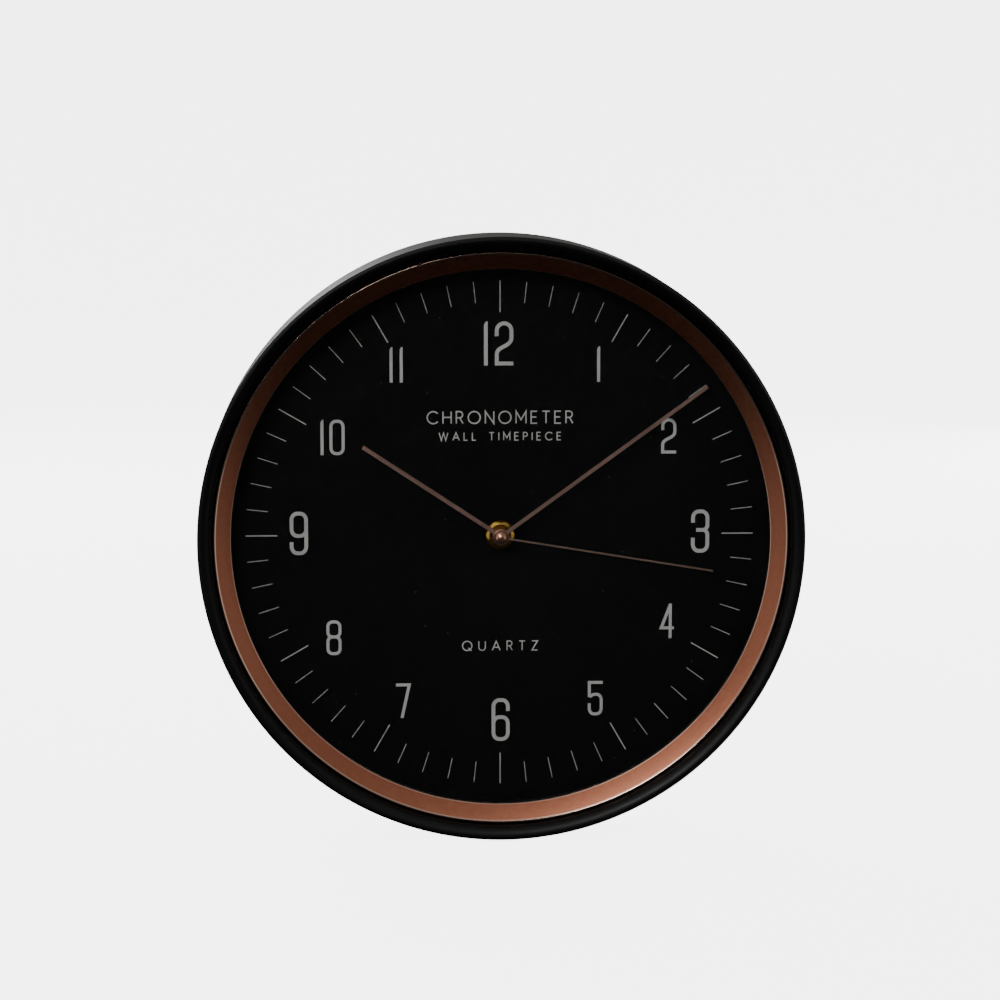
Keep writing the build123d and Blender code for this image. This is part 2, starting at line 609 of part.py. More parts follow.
SECOND_WHEEL_PHASE = 0.0
SECOND_PINION_PHASE = 0.0
CANNON_PHASE = 0.0
MOTION_PHASE = meshed_phase(CANNON_PHASE, CANNON_TEETH, MOTION_BEARING, MOTION_TEETH)
MOTION_PINION_PHASE = MOTION_PHASE
HOUR_PHASE = meshed_phase(MOTION_PINION_PHASE, MOTION_PINION_TEETH, MOTION_BEARING + 180, HOUR_TEETH)
KNOB_PHASE = meshed_phase(MOTION_PHASE, MOTION_TEETH, KNOB_BEARING, KNOB_TEETH)
THIRD_PHASE = meshed_phase(SECOND_PINION_PHASE, SECOND_PINION_TEETH, THIRD_BEARING, THIRD_TEETH)
THIRD_PINION_PHASE = THIRD_PHASE
CENTRE_PHASE = meshed_phase(THIRD_PINION_PHASE, THIRD_PINION_TEETH, THIRD_BEARING + 180, CENTRE_TEETH)
INTERMEDIATE_PINION_PHASE = meshed_phase(
    SECOND_WHEEL_PHASE, SECOND_TEETH, INTERMEDIATE_BEARING, INTERMEDIATE_PINION_TEETH
)
INTERMEDIATE_PHASE = INTERMEDIATE_PINION_PHASE
ROTOR_PHASE = meshed_phase(INTERMEDIATE_PHASE, INTERMEDIATE_TEETH, ROTOR_BEARING, ROTOR_TEETH)


def pivoted_arbor(at, radius=ARBOR_RADIUS):
    """An arbor with a fine pivot at each end, from the rear cover's boss to the front boss."""
    body = rod(radius, ARBOR_BACK, ARBOR_FRONT, at)
    pivots = rod(PIVOT_RADIUS, ARBOR_BACK - PIVOT_DEPTH, ARBOR_FRONT + PIVOT_DEPTH, at)
    return body + pivots


def lightening_holes(hole, back, at):
    """Ring of plugs that lighten a wheel on an axis; hole is (radius, distance from the axis)."""
    radius, distance = hole
    middles = [polar(at, distance, 360 / WHEEL_HOLE_COUNT * (i + 0.5)) for i in range(WHEEL_HOLE_COUNT)]
    return join(rod(radius, back, back + WHEEL_THICKNESS, middle) for middle in middles)


# ---------------------------------------------------------------- movement: wheels
def make_hour_wheel():
    """Hour wheel with its tube, which runs in the bush and carries the hour hand."""
    bore = MINUTE_SHAFT_RADIUS + RUNNING_CLEARANCE
    body = gear(HOUR_TEETH, HOUR_MODULE, HOUR_PHASE, LAYER_HOUR, WHEEL_THICKNESS)
    body += tube(HOUR_TUBE_RADIUS, 0, LAYER_HOUR, HOUR_TUBE_END)
    return body - tube(bore, 0, LAYER_HOUR, HOUR_TUBE_END)


def make_minute_arbor():
    """Hollow minute shaft with the cannon pinion."""
    bore = SECOND_SHAFT_RADIUS + RUNNING_CLEARANCE
    back = LAYER_CENTRE - MINUTE_SHAFT_FOOT
    body = tube(MINUTE_SHAFT_RADIUS, 0, back, MINUTE_SHAFT_END)
    overhang = PINION_OVERHANG / 2
    body += gear(CANNON_TEETH, MOTION_MODULE, CANNON_PHASE, LAYER_MOTION - overhang, WHEEL_THICKNESS + 3 * overhang)
    return body - tube(bore, 0, back, MINUTE_SHAFT_END)


def make_clutch_spring():
    """Spring washer on the minute shaft that drags the centre wheel, so that the hands can be set."""
    front = LAYER_CENTRE - CLUTCH_GAP
    return tube(CLUTCH_RADIUS, MINUTE_SHAFT_RADIUS, front - CLUTCH_THICKNESS, front)


def make_centre_wheel():
    """Centre wheel: one turn an hour, loose on the minute shaft but for the clutch."""
    body = gear(CENTRE_TEETH, THIRD_PINION_MODULE, CENTRE_PHASE, LAYER_CENTRE, WHEEL_THICKNESS)
    body -= lightening_holes(CENTRE_HOLE, LAYER_CENTRE, CENTRE_AXIS)
    return body - rod(MINUTE_SHAFT_RADIUS + RUNNING_CLEARANCE, LAYER_CENTRE, LAYER_CENTRE + WHEEL_THICKNESS)


def make_second_wheel():
    """Second wheel, its pinion and the long second shaft."""
    body = gear(SECOND_TEETH, SECOND_WHEEL_MODULE, SECOND_WHEEL_PHASE, LAYER_SECOND, WHEEL_THICKNESS)
    body -= lightening_holes(SECOND_HOLE, LAYER_SECOND, CENTRE_AXIS)
    body += rod(SECOND_HUB_RADIUS, LAYER_SECOND, LAYER_THIRD)
    pinion_back = LAYER_THIRD - PINION_OVERHANG
    pinion_height = WHEEL_THICKNESS + 2 * PINION_OVERHANG
    body += gear(SECOND_PINION_TEETH, THIRD_MODULE, SECOND_PINION_PHASE, pinion_back, pinion_height)
    body += rod(SECOND_SHAFT_RADIUS, ARBOR_BACK, SECOND_SHAFT_END)
    return body + rod(PIVOT_RADIUS, ARBOR_BACK - PIVOT_DEPTH, ARBOR_BACK)


def make_third_wheel():
    """Third wheel and pinion."""
    at = THIRD_AXIS
    body = gear(THIRD_TEETH, THIRD_MODULE, THIRD_PHASE, LAYER_THIRD, WHEEL_THICKNESS, at)
    body -= lightening_holes(THIRD_HOLE, LAYER_THIRD, at)
    back = LAYER_THIRD + WHEEL_THICKNESS
    height = LAYER_CENTRE + WHEEL_THICKNESS + PINION_OVERHANG - back
    body += gear(THIRD_PINION_TEETH, THIRD_PINION_MODULE, THIRD_PINION_PHASE, back, height, at)
    return body + pivoted_arbor(at)


def make_intermediate_wheel():
    """Intermediate wheel, driven by the rotor, and the pinion that drives the second wheel."""
    at = INTERMEDIATE_AXIS
    body = gear(INTERMEDIATE_TEETH, ROTOR_MODULE, INTERMEDIATE_PHASE, LAYER_ROTOR, WHEEL_THICKNESS, at)
    back = LAYER_ROTOR + WHEEL_THICKNESS
    height = LAYER_SECOND + WHEEL_THICKNESS + PINION_OVERHANG - back
    body += gear(
        INTERMEDIATE_PINION_TEETH, SECOND_WHEEL_MODULE, INTERMEDIATE_PINION_PHASE, back, height, at
    )
    return body + pivoted_arbor(at)


def make_rotor_pinion():
    """Rotor arbor with its pinion and the seat for the magnet."""
    back = LAYER_ROTOR - PINION_OVERHANG
    height = WHEEL_THICKNESS + 2 * PINION_OVERHANG
    body = gear(ROTOR_TEETH, ROTOR_MODULE, ROTOR_PHASE, back, height, ROTOR_AXIS)
    return body + pivoted_arbor(ROTOR_AXIS)


def make_rotor_magnet():
    """Ring magnet on the rotor arbor."""
    magnet = tube(ROTOR_MAGNET_RADIUS, ARBOR_RADIUS, ROTOR_MAGNET_BACK, ROTOR_MAGNET_FRONT)
    return place(magnet, ROTOR_AXIS)


def make_motion_wheel():
    """Minute wheel and pinion, which turn on a post and take the hour hand round once in twelve turns."""
    at = MOTION_AXIS
    body = gear(MOTION_TEETH, MOTION_MODULE, MOTION_PHASE, LAYER_MOTION, WHEEL_THICKNESS, at)
    pinion_back = LAYER_MOTION + WHEEL_THICKNESS
    pinion_height = CHAMBER_FRONT - END_SHAKE - pinion_back
    body += gear(MOTION_PINION_TEETH, HOUR_MODULE, MOTION_PINION_PHASE, pinion_back, pinion_height, at)
    return body - rod(MOTION_POST_RADIUS + RUNNING_CLEARANCE, LAYER_MOTION, CHAMBER_FRONT, at)


def make_setting_knob():
    """Time-setting knob at the back, with its arbor and pinion."""
    at = KNOB_AXIS
    face = MOVEMENT_BACK + KNOB_RECESS
    flange_back = CHAMBER_BACK + KNOB_RECESS
    outline = Circle(KNOB_RADIUS)
    for i in range(KNOB_FLUTES):
        middle = polar((0, 0), KNOB_RADIUS + KNOB_FLUTE_RADIUS / 3, 360 / KNOB_FLUTES * i)
        outline -= Pos(*middle) * Circle(KNOB_FLUTE_RADIUS)
    body = plate(Pos(*at) * outline, face, flange_back - face)
    dish = KNOB_RADIUS - KNOB_DISH_WALL
    body -= rod(dish, face, face + KNOB_DISH_DEPTH, at)
    body += plate(Pos(*at) * Rectangle(KNOB_GRIP_WIDTH, 2 * dish - KNOB_RECESS), face, KNOB_GRIP_HEIGHT)
    body += rod(KNOB_FLANGE_RADIUS, flange_back, flange_back + KNOB_FLANGE_THICKNESS, at)
    body += rod(KNOB_ARBOR_RADIUS, flange_back, ARBOR_FRONT, at)
    body += rod(PIVOT_RADIUS, ARBOR_FRONT, ARBOR_FRONT + PIVOT_DEPTH, at)
    pinion_height = ARBOR_FRONT - LAYER_MOTION + PINION_OVERHANG
    return body + gear(KNOB_TEETH, MOTION_MODULE, KNOB_PHASE, LAYER_MOTION - PINION_OVERHANG, pinion_height, at)


# ---------------------------------------------------------------- movement: housing
def make_movement_case():
    """Front half of the housing: gear chamber above, battery bay below, pivot bosses and posts."""
    middle = MOVEMENT_TOP - MOVEMENT_HEIGHT / 2
    outline = Pos(0, middle) * RectangleRounded(MOVEMENT_WIDTH, MOVEMENT_HEIGHT, MOVEMENT_CORNER)
    body = plate(outline, MOVEMENT_BACK, MOVEMENT_FRONT - MOVEMENT_BACK)
    half = MOVEMENT_WIDTH / 2 - MOVEMENT_WALL
    top = MOVEMENT_TOP - MOVEMENT_WALL
    body -= block(-half, half, BAY_TOP + BAY_WALL, top, MOVEMENT_BACK, CHAMBER_FRONT)
    body -= block(-half, half, BAY_BOTTOM, BAY_TOP, MOVEMENT_BACK, CHAMBER_FRONT)
    body -= block(-half, half, BAY_TOP, top, MOVEMENT_BACK, CHAMBER_BACK)
    for side in (-1, 1):
        x0, x1 = sorted((side * half, side * (half - COVER_REST)))
        body += block(x0, x1, top - COVER_REST, top, CHAMBER_BACK, CHAMBER_FRONT)
        x0, x1 = sorted((side * half, side * (half - STRIP_THICKNESS - STRIP_CLEARANCE)))
        strip_back = BOARD_FRONT - STRIP_WIDTH - STRIP_CLEARANCE
        body -= block(x0, x1, BAY_TOP, BAY_TOP + BAY_WALL, strip_back, CHAMBER_FRONT)
    for at in (THIRD_AXIS, INTERMEDIATE_AXIS, ROTOR_AXIS, KNOB_AXIS):
        body += rod(PIVOT_BOSS_RADIUS, FRONT_PIVOT, CHAMBER_FRONT, at)
        body -= rod(PIVOT_RADIUS + RUNNING_CLEARANCE, FRONT_PIVOT, FRONT_PIVOT + PIVOT_DEPTH + END_SHAKE, at)
    body += rod(MOTION_POST_RADIUS, LAYER_MOTION - CLIP_THICKNESS - 2 * END_SHAKE, CHAMBER_FRONT, MOTION_AXIS)
    for at in board_posts():
        body += rod(BOARD_POST_RADIUS, BOARD_FRONT, CHAMBER_FRONT, at)
    for at in stator_posts():
        body += rod(STATOR_POST_RADIUS, STATOR_BACK + STATOR_THICKNESS, CHAMBER_FRONT, at)
    return body - rod(BUSH_FLANGE_RADIUS, CHAMBER_FRONT, MOVEMENT_FRONT)


def make_movement_cover():
    """Rear cover of the gear chamber, with the rear pivots and the hole for the knob."""
    half = MOVEMENT_WIDTH / 2 - MOVEMENT_WALL - COVER_CLEARANCE
    top = MOVEMENT_TOP - MOVEMENT_WALL - COVER_CLEARANCE
    body = block(-half, half, BAY_TOP + COVER_CLEARANCE, top, MOVEMENT_BACK, CHAMBER_BACK)
    for at in (CENTRE_AXIS, THIRD_AXIS, INTERMEDIATE_AXIS, ROTOR_AXIS):
        body += rod(PIVOT_BOSS_RADIUS, CHAMBER_BACK, REAR_PIVOT, at)
        body -= rod(PIVOT_RADIUS + RUNNING_CLEARANCE, REAR_PIVOT - PIVOT_DEPTH - END_SHAKE, REAR_PIVOT, at)
    return body - rod(KNOB_RADIUS + KNOB_CLEARANCE, MOVEMENT_BACK, CHAMBER_BACK, KNOB_AXIS)


def make_threaded_bush():
    """Brass bush pressed into the housing; it carries the clock's back plate, dial and nut."""
    body = tube(BUSH_FLANGE_RADIUS, 0, CHAMBER_FRONT, MOVEMENT_FRONT)
    body += tube(BUSH_RADIUS, 0, MOVEMENT_FRONT, BUSH_END)
    return body - tube(HOUR_TUBE_RADIUS + RUNNING_CLEARANCE, 0, CHAMBER_FRONT, BUSH_END)


def make_nut_washer():
    """Flat washer between the dial and the nut."""
    return tube(WASHER_RADIUS, BUSH_RADIUS, DIAL_FRONT, WASHER_FRONT)


def make_hex_nut():
    """Brass nut with its corners turned off."""
    hexagon = RegularPolygon(NUT_ACROSS_FLATS / 2, 6, major_radius=False)
    body = plate(hexagon, WASHER_FRONT, NUT_HEIGHT)
    body &= lathe(
        [
            (0, WASHER_FRONT),
            (NUT_CORNER_RADIUS, WASHER_FRONT),
            (NUT_CORNER_RADIUS, NUT_FRONT - NUT_CHAMFER),
            (NUT_CORNER_RADIUS - 1.7 * NUT_CHAMFER, NUT_FRONT),
            (0, NUT_FRONT),
        ]
    )
    return body - rod(BUSH_RADIUS, WASHER_FRONT, NUT_FRONT)


def make_motion_clip():
    """Push-on clip that keeps the minute wheel on its post."""
    front = LAYER_MOTION - END_SHAKE
    clip = tube(CLIP_RADIUS, MOTION_POST_RADIUS, front - CLIP_THICKNESS, front)
    return place(clip, MOTION_AXIS)


# ---------------------------------------------------------------- movement: motor and circuit
def stator_posts():
    """Posts of the housing that the stator sits on, one at each end of the coil."""
    return [(x, COIL_HEIGHT - STATOR_POST_DROP) for x in (leg_centre(-1), leg_centre(1))]


def leg_centre(side):
    """X of the middle of the stator's left (-1) or right (1) leg."""
    return COIL_MIDDLE + side * (COIL_LENGTH / 2 + COIL_CLEARANCE + STATOR_LEG_WIDTH / 2)


def make_stator():
    """Soft iron stator: a bar with the rotor's hole and two legs that reach up to the coil core."""
    left = leg_centre(-1) - STATOR_LEG_WIDTH / 2
    right = leg_centre(1) + STATOR_LEG_WIDTH / 2
    bar_low = ROTOR_AXIS[1] - STATOR_BAR / 2
    sketch = Pos((left + right) / 2, ROTOR_AXIS[1]) * Rectangle(right - left, STATOR_BAR)
    for side in (-1, 1):
        top = COIL_HEIGHT + CORE_WIDTH / 2
        leg = Pos(leg_centre(side), (bar_low + top) / 2) * Rectangle(STATOR_LEG_WIDTH, top - bar_low)
        sketch += leg
    sketch -= Pos(*ROTOR_AXIS) * Circle(ROTOR_MAGNET_RADIUS + ROTOR_AIR_GAP)
    return plate(sketch, STATOR_BACK, STATOR_THICKNESS)


def make_coil_core():
    """Iron bar through the coil, clamped under the ends of the stator's legs."""
    left = leg_centre(-1) - STATOR_LEG_WIDTH / 2
    right = leg_centre(1) + STATOR_LEG_WIDTH / 2
    low, high = COIL_HEIGHT - CORE_WIDTH / 2, COIL_HEIGHT + CORE_WIDTH / 2
    return block(left, right, low, high, STATOR_BACK - CORE_THICKNESS, STATOR_BACK)


def coil_ring(outer, start, end):
    """A tube along X round the coil core, between two distances from the coil's left end."""
    depth = STATOR_BACK - CORE_THICKNESS / 2
    left = COIL_MIDDLE - COIL_LENGTH / 2
    return Pos(left + start, -depth, COIL_HEIGHT) * Rot(0, 90, 0) * extrude(Circle(outer), end - start)


def make_coil_bobbin():
    """Plastic bobbin: a square-bored barrel with a flange at each end."""
    body = coil_ring(BOBBIN_BARREL, 0, COIL_LENGTH)
    flange = COIL_RADIUS + BOBBIN_FLANGE_RISE
    body += coil_ring(flange, 0, BOBBIN_FLANGE)
    body += coil_ring(flange, COIL_LENGTH - BOBBIN_FLANGE, COIL_LENGTH)
    return body - make_coil_core()


def make_coil_winding():
    """The winding of fine enamelled copper wire, as one solid."""
    body = coil_ring(COIL_RADIUS, BOBBIN_FLANGE, COIL_LENGTH - BOBBIN_FLANGE)
    return body - coil_ring(BOBBIN_BARREL, BOBBIN_FLANGE, COIL_LENGTH - BOBBIN_FLANGE)


def board_posts():
    """Posts that hold the circuit board off the housing."""
    inset = BOARD_POST_INSET
    return [(BOARD_LEFT + inset, BOARD_TOP - inset), (BOARD_RIGHT - inset, (BOARD_TOP + BOARD_LOW) / 2)]


def make_circuit_board():
    """Small circuit board."""
    return block(BOARD_LEFT, BOARD_RIGHT, BOARD_LOW, BOARD_TOP, BOARD_BACK, BOARD_FRONT)


def make_chip_blob():
    """Epoxy dome over the bonded chip, on the rear face of the board."""
    at = (BOARD_LEFT + BLOB_INSET, (BOARD_LOW + BOARD_TOP) / 2)
    radius = (BLOB_RADIUS**2 + BLOB_HEIGHT**2) / (2 * BLOB_HEIGHT)
    ball = Pos(at[0], -(BOARD_BACK - BLOB_HEIGHT + radius), at[1]) * Sphere(radius)
    return ball & rod(BLOB_RADIUS, BOARD_BACK - BLOB_HEIGHT, BOARD_BACK, at)


def make_quartz_crystal():
    """Quartz crystal in its metal can, lying on the board."""
    x = BOARD_RIGHT - CRYSTAL_SIDE_INSET
    bottom = BOARD_LOW + CRYSTAL_LOW_INSET
    can = Pos(x, -(BOARD_BACK - CRYSTAL_RADIUS), bottom) * extrude(Circle(CRYSTAL_RADIUS), CRYSTAL_LENGTH)
    return fillet(can.edges().filter_by(GeomType.CIRCLE).sort_by(Axis.Z)[-1], CRYSTAL_ROUND)


# ---------------------------------------------------------------- battery and contacts
def battery_cylinder(radius, start, end):
    """A cylinder along the battery's axis; start and end are X."""
    return Pos(start, -BATTERY_STANDOFF, BATTERY_HEIGHT) * Rot(0, 90, 0) * extrude(Circle(radius), end - start)


def make_battery_cell():
    """AA cell: steel can and the positive nub."""
    can = battery_cylinder(BATTERY_RADIUS - BATTERY_SLEEVE, BATTERY_LEFT, BATTERY_RIGHT - BATTERY_NUB_LENGTH)
    return can + battery_cylinder(BATTERY_NUB_RADIUS, BATTERY_LEFT, BATTERY_RIGHT)


def make_battery_sleeve():
    """Printed film round the cell."""
    start = BATTERY_LEFT + BATTERY_SLEEVE_MARGIN
    end = BATTERY_RIGHT - BATTERY_NUB_LENGTH - BATTERY_SLEEVE_MARGIN
    sleeve = battery_cylinder(BATTERY_RADIUS, start, end)
    return sleeve - battery_cylinder(BATTERY_RADIUS - BATTERY_SLEEVE, start, end)


def contact_plate(side):
    """Flat plate on the bay's end wall, with a strip that climbs into the gear chamber."""
    x0, x1 = sorted((side * BAY_END, side * (BAY_END - STRIP_THICKNESS)))
    low, high = BATTERY_HEIGHT - CONTACT_HEIGHT / 2, BATTERY_HEIGHT + CONTACT_HEIGHT / 2
    body = block(x0, x1, low, high, MOVEMENT_BACK + CONTACT_BACK_GAP, CHAMBER_FRONT - CONTACT_FRONT_GAP)
    return body + block(x0, x1, low, STRIP_LOW + STRIP_WIDTH, BOARD_FRONT - STRIP_WIDTH, BOARD_FRONT)


def make_positive_contact():
    """Positive contact: the plate, a dimple that meets the nub, and a tab soldered to the board."""
    body = contact_plate(1)
    body += battery_cylinder(CONTACT_DIMPLE_RADIUS, BATTERY_RIGHT, BAY_END - STRIP_THICKNESS)
    front = BOARD_FRONT + STRIP_THICKNESS
    tab = block(BOARD_RIGHT - TAB_LENGTH, BAY_END, STRIP_LOW, STRIP_LOW + STRIP_WIDTH, BOARD_FRONT, front)
    return body + tab


def make_negative_contact():
    """Negative contact: the plate, a bowed leaf that presses the cell, and a strip to the board."""
    body = contact_plate(-1)
    foot = -BAY_END + STRIP_THICKNESS
    half = CONTACT_HEIGHT / 2 - STRIP_WIDTH
    outer = ThreePointArc((foot, -half), (BATTERY_LEFT, 0), (foot, half))
    t = STRIP_THICKNESS
    inner = ThreePointArc((foot, half - t), (BATTERY_LEFT - t, 0), (foot, t - half))
    ends = [Line((foot, half), (foot, half - t)), Line((foot, t - half), (foot, -half))]
    leaf = make_face(Curve() + [outer, ends[0], inner, ends[1]])
    body += plate(Pos(0, BATTERY_HEIGHT) * leaf, BATTERY_STANDOFF - LEAF_WIDTH / 2, LEAF_WIDTH)
    front = BOARD_FRONT + STRIP_THICKNESS
    return body + block(-BAY_END, BOARD_LEFT + TAB_LENGTH, STRIP_LOW, STRIP_LOW + STRIP_WIDTH, BOARD_FRONT, front)


# ---------------------------------------------------------------- hands
def hand(length, width, eye_radius, back, clock_angle):
    """A straight blade with a round eye and bevelled front edges, at an angle clockwise from twelve."""
    blade = Pos(0, length / 2) * Rectangle(width, length)
    body = plate(blade + Circle(eye_radius), back, HAND_SHEET)
    front = body.faces().sort_by(Axis.Y)[0]
    body = chamfer(front.outer_wire().edges(), HAND_EDGE_BEVEL)
    return Rot(0, clock_angle, 0) * body


def make_hour_hand():
    """Hour hand with its collet, pressed on the hour tube."""
    body = hand(HOUR_HAND_LENGTH, HOUR_HAND_WIDTH, HAND_BOSS_RADIUS, HOUR_HAND_BACK, HOUR_HAND_ANGLE)
    body += tube(HOUR_TUBE_RADIUS + COLLET_WALL, 0, HOUR_HAND_BACK - COLLET_HEIGHT, HOUR_HAND_BACK)
    return body - tube(HOUR_TUBE_RADIUS, 0, HOUR_HAND_BACK - COLLET_HEIGHT, HOUR_HAND_BACK + HAND_SHEET)


def make_minute_hand():
    """Minute hand with its collet, pressed on the minute shaft."""
    body = hand(MINUTE_HAND_LENGTH, MINUTE_HAND_WIDTH, HAND_BOSS_RADIUS, MINUTE_HAND_BACK, MINUTE_HAND_ANGLE)
    body += tube(MINUTE_SHAFT_RADIUS + COLLET_WALL, 0, MINUTE_HAND_BACK - COLLET_HEIGHT, MINUTE_HAND_BACK)
    return body - tube(MINUTE_SHAFT_RADIUS, 0, MINUTE_HAND_BACK - COLLET_HEIGHT, MINUTE_HAND_BACK + HAND_SHEET)


def make_second_hand():
    """Second hand with the thin tube that grips the second shaft."""
    body = hand(SECOND_HAND_LENGTH, SECOND_HAND_WIDTH, SECOND_EYE_RADIUS, SECOND_HAND_BACK, SECOND_HAND_ANGLE)
    body += tube(SECOND_SHAFT_RADIUS + SECOND_COLLET_WALL, 0, SECOND_HAND_BACK - COLLET_HEIGHT, SECOND_HAND_BACK)
    return body - tube(SECOND_SHAFT_RADIUS, 0, SECOND_HAND_BACK - COLLET_HEIGHT, SECOND_HAND_BACK + HAND_SHEET)


def make_hand_cap():
    """Domed cap with a thin brim, fixed on the second hand."""
    back = SECOND_HAND_BACK + HAND_SHEET
    brim = back + CAP_BRIM
    radius = (CAP_DOME_RADIUS**2 + CAP_DOME_HEIGHT**2) / (2 * CAP_DOME_HEIGHT)
    ball = Pos(0, -(brim + CAP_DOME_HEIGHT - radius), 0) * Sphere(radius)
    dome = ball & rod(CAP_DOME_RADIUS, brim, brim + CAP_DOME_HEIGHT)
    return tube(CAP_FLANGE_RADIUS, 0, back, brim) + dome


PIECES = {
    "case_rim": make_case_rim,
    "bezel_ring": make_bezel_ring,
    "lens_gasket": make_lens_gasket,
    "lens": make_lens,
    "spacer_ring": make_spacer_ring,
    "dial": make_dial,
    "back_plate": make_back_plate,
    "back_screws": make_back_screws,
    "hanger_bracket": make_hanger,
    "hanger_screws": make_hanger_screws,
    "movement_case": make_movement_case,
    "movement_cover": make_movement_cover,
    "threaded_bush": make_threaded_bush,
    "nut_washer": make_nut_washer,
    "hex_nut": make_hex_nut,
    "hour_wheel": make_hour_wheel,
    "minute_arbor": make_minute_arbor,
    "clutch_spring": make_clutch_spring,
    "centre_wheel": make_centre_wheel,
    "second_wheel": make_second_wheel,
    "third_wheel": make_third_wheel,
    "intermediate_wheel": make_intermediate_wheel,
    "rotor_pinion": make_rotor_pinion,
    "rotor_magnet": make_rotor_magnet,
    "motion_wheel": make_motion_wheel,
    "motion_clip": make_motion_clip,
    "setting_knob": make_setting_knob,
    "stator": make_stator,
    "coil_core": make_coil_core,
    "coil_bobbin": make_coil_bobbin,
    "coil_winding": make_coil_winding,
    "circuit_board": make_circuit_board,
    "chip_blob": make_chip_blob,
    "quartz_crystal": make_quartz_crystal,
    "battery_cell": make_battery_cell,
    "battery_sleeve": make_battery_sleeve,
    "positive_contact": make_positive_contact,
    "negative_contact": make_negative_contact,
    "hour_hand": make_hour_hand,
    "minute_hand": make_minute_hand,
    "second_hand": make_second_hand,
    "hand_cap": make_hand_cap,
}

for name, make in PIECES.items():
    save(name, make())
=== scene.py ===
"""Looks of a round quartz wall clock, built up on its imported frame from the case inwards.

Metres, in the frame's own axes: the origin is on the wall, on the axis of the dial, +Z is up and the dial
faces -Y. Sizes are given in millimetres, and a depth is the distance in front of the wall.
"""

import bmesh
import bpy
from math import cos, degrees, pi, radians, sin, sqrt, tan
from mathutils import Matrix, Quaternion, Vector


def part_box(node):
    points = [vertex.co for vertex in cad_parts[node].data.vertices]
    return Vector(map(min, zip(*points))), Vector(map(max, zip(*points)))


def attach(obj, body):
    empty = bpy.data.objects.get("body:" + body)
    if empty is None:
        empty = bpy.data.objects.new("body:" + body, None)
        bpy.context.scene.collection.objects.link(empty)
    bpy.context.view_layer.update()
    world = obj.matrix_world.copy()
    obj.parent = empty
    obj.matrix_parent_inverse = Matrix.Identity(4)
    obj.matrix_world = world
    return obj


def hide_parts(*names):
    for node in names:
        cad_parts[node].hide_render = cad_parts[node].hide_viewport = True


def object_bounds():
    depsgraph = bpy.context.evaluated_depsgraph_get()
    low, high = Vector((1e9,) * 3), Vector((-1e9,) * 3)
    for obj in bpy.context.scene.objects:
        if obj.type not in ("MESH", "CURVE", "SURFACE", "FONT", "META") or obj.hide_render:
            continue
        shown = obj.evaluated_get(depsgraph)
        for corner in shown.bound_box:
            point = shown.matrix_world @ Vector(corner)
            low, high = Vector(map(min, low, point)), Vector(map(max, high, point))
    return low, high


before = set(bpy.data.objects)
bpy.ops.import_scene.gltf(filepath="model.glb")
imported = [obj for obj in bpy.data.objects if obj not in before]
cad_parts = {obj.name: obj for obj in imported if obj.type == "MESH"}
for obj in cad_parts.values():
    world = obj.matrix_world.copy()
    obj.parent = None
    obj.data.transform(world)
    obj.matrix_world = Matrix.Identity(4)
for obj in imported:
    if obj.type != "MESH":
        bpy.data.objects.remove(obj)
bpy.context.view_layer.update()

# ---------------------------------------------------------------- case
# A deep ring moulded in one piece from black ABS: plain side wall, narrow outer chamfer, full inner round.
# The mould is spark-eroded, which leaves a satin skin with a fine grain, so only the edges catch a line of
# light. Inside, a ledge carries the copper ring, and six bosses take the screws from the back.
MM = 0.001


def linear(code):
    """A colour in linear light from its sRGB hex code."""
    shares = [int(code[i : i + 2], 16) / 255 for i in (1, 3, 5)]
    return [c / 12.92 if c <= 0.04045 else ((c + 0.055) / 1.055) ** 2.4 for c in shares] + [1.0]


def surface(name, colour, roughness, **constants):
    """A material on one shader, with the values that are the same all over set on its own sockets."""
    made = bpy.data.materials.new(name)
    made.use_nodes = True
    values = {"Base_Color": linear(colour), "Roughness": roughness, **constants}
    for socket, value in values.items():
        made.node_tree.nodes["Principled BSDF"].inputs[socket.replace("_", " ")].default_value = value
    return made


def add_node(material, kind, settings=(), links=()):
    """Adds one node to a material or world; settings are (socket or property, value), links (socket, source, output).

    The two marks of a colour ramp are one setting: ("marks", ((position, hex code), (position, hex code))).
    """
    made = material.node_tree.nodes.new(kind)
    for name, value in settings:
        if name == "marks":
            for mark, (position, code) in zip(made.color_ramp.elements, value):
                mark.position, mark.color = position, linear(code)
        elif isinstance(name, str) and hasattr(made, name):
            setattr(made, name, value)
        else:
            made.inputs[name].default_value = value
    for socket, source, output in links:
        material.node_tree.links.new(source.outputs[output], made.inputs[socket])
    return made


def shade_with(material, socket, source, output):
    """Feeds a socket of the material's shader from a node."""
    shader = material.node_tree.nodes["Principled BSDF"]
    material.node_tree.links.new(source.outputs[output], shader.inputs[socket])


def moulded_grain(material, grain_mm, depth_mm, gloss):
    """Spark-eroded mould texture: pits of a size and depth, and gloss that drifts between two values.

    Real pits are about 0.05 mm across. They are drawn coarser on every material, so that they show.
    """
    drift_mm = 40
    place = add_node(material, "ShaderNodeTexCoord")
    pits = add_node(
        material, "ShaderNodeTexNoise",
        [("Scale", 1 / (grain_mm * MM)), ("Detail", 2.0)], [("Vector", place, "Object")],
    )
    drift = add_node(
        material, "ShaderNodeTexNoise",
        [("Scale", 1 / (drift_mm * MM)), ("Detail", 3.0)], [("Vector", place, "Object")],
    )
    sheen = add_node(
        material, "ShaderNodeMapRange",
        [("From Min", 0.3), ("From Max", 0.7), ("To Min", gloss[0]), ("To Max", gloss[1])],
        [("Value", drift, "Fac")],
    )
    bumps = add_node(
        material, "ShaderNodeBump", [("Strength", 0.5), ("Distance", depth_mm * MM)], [("Height", pits, "Fac")]
    )
    shade_with(material, "Roughness", sheen, "Result")
    shade_with(material, "Normal", bumps, "Normal")


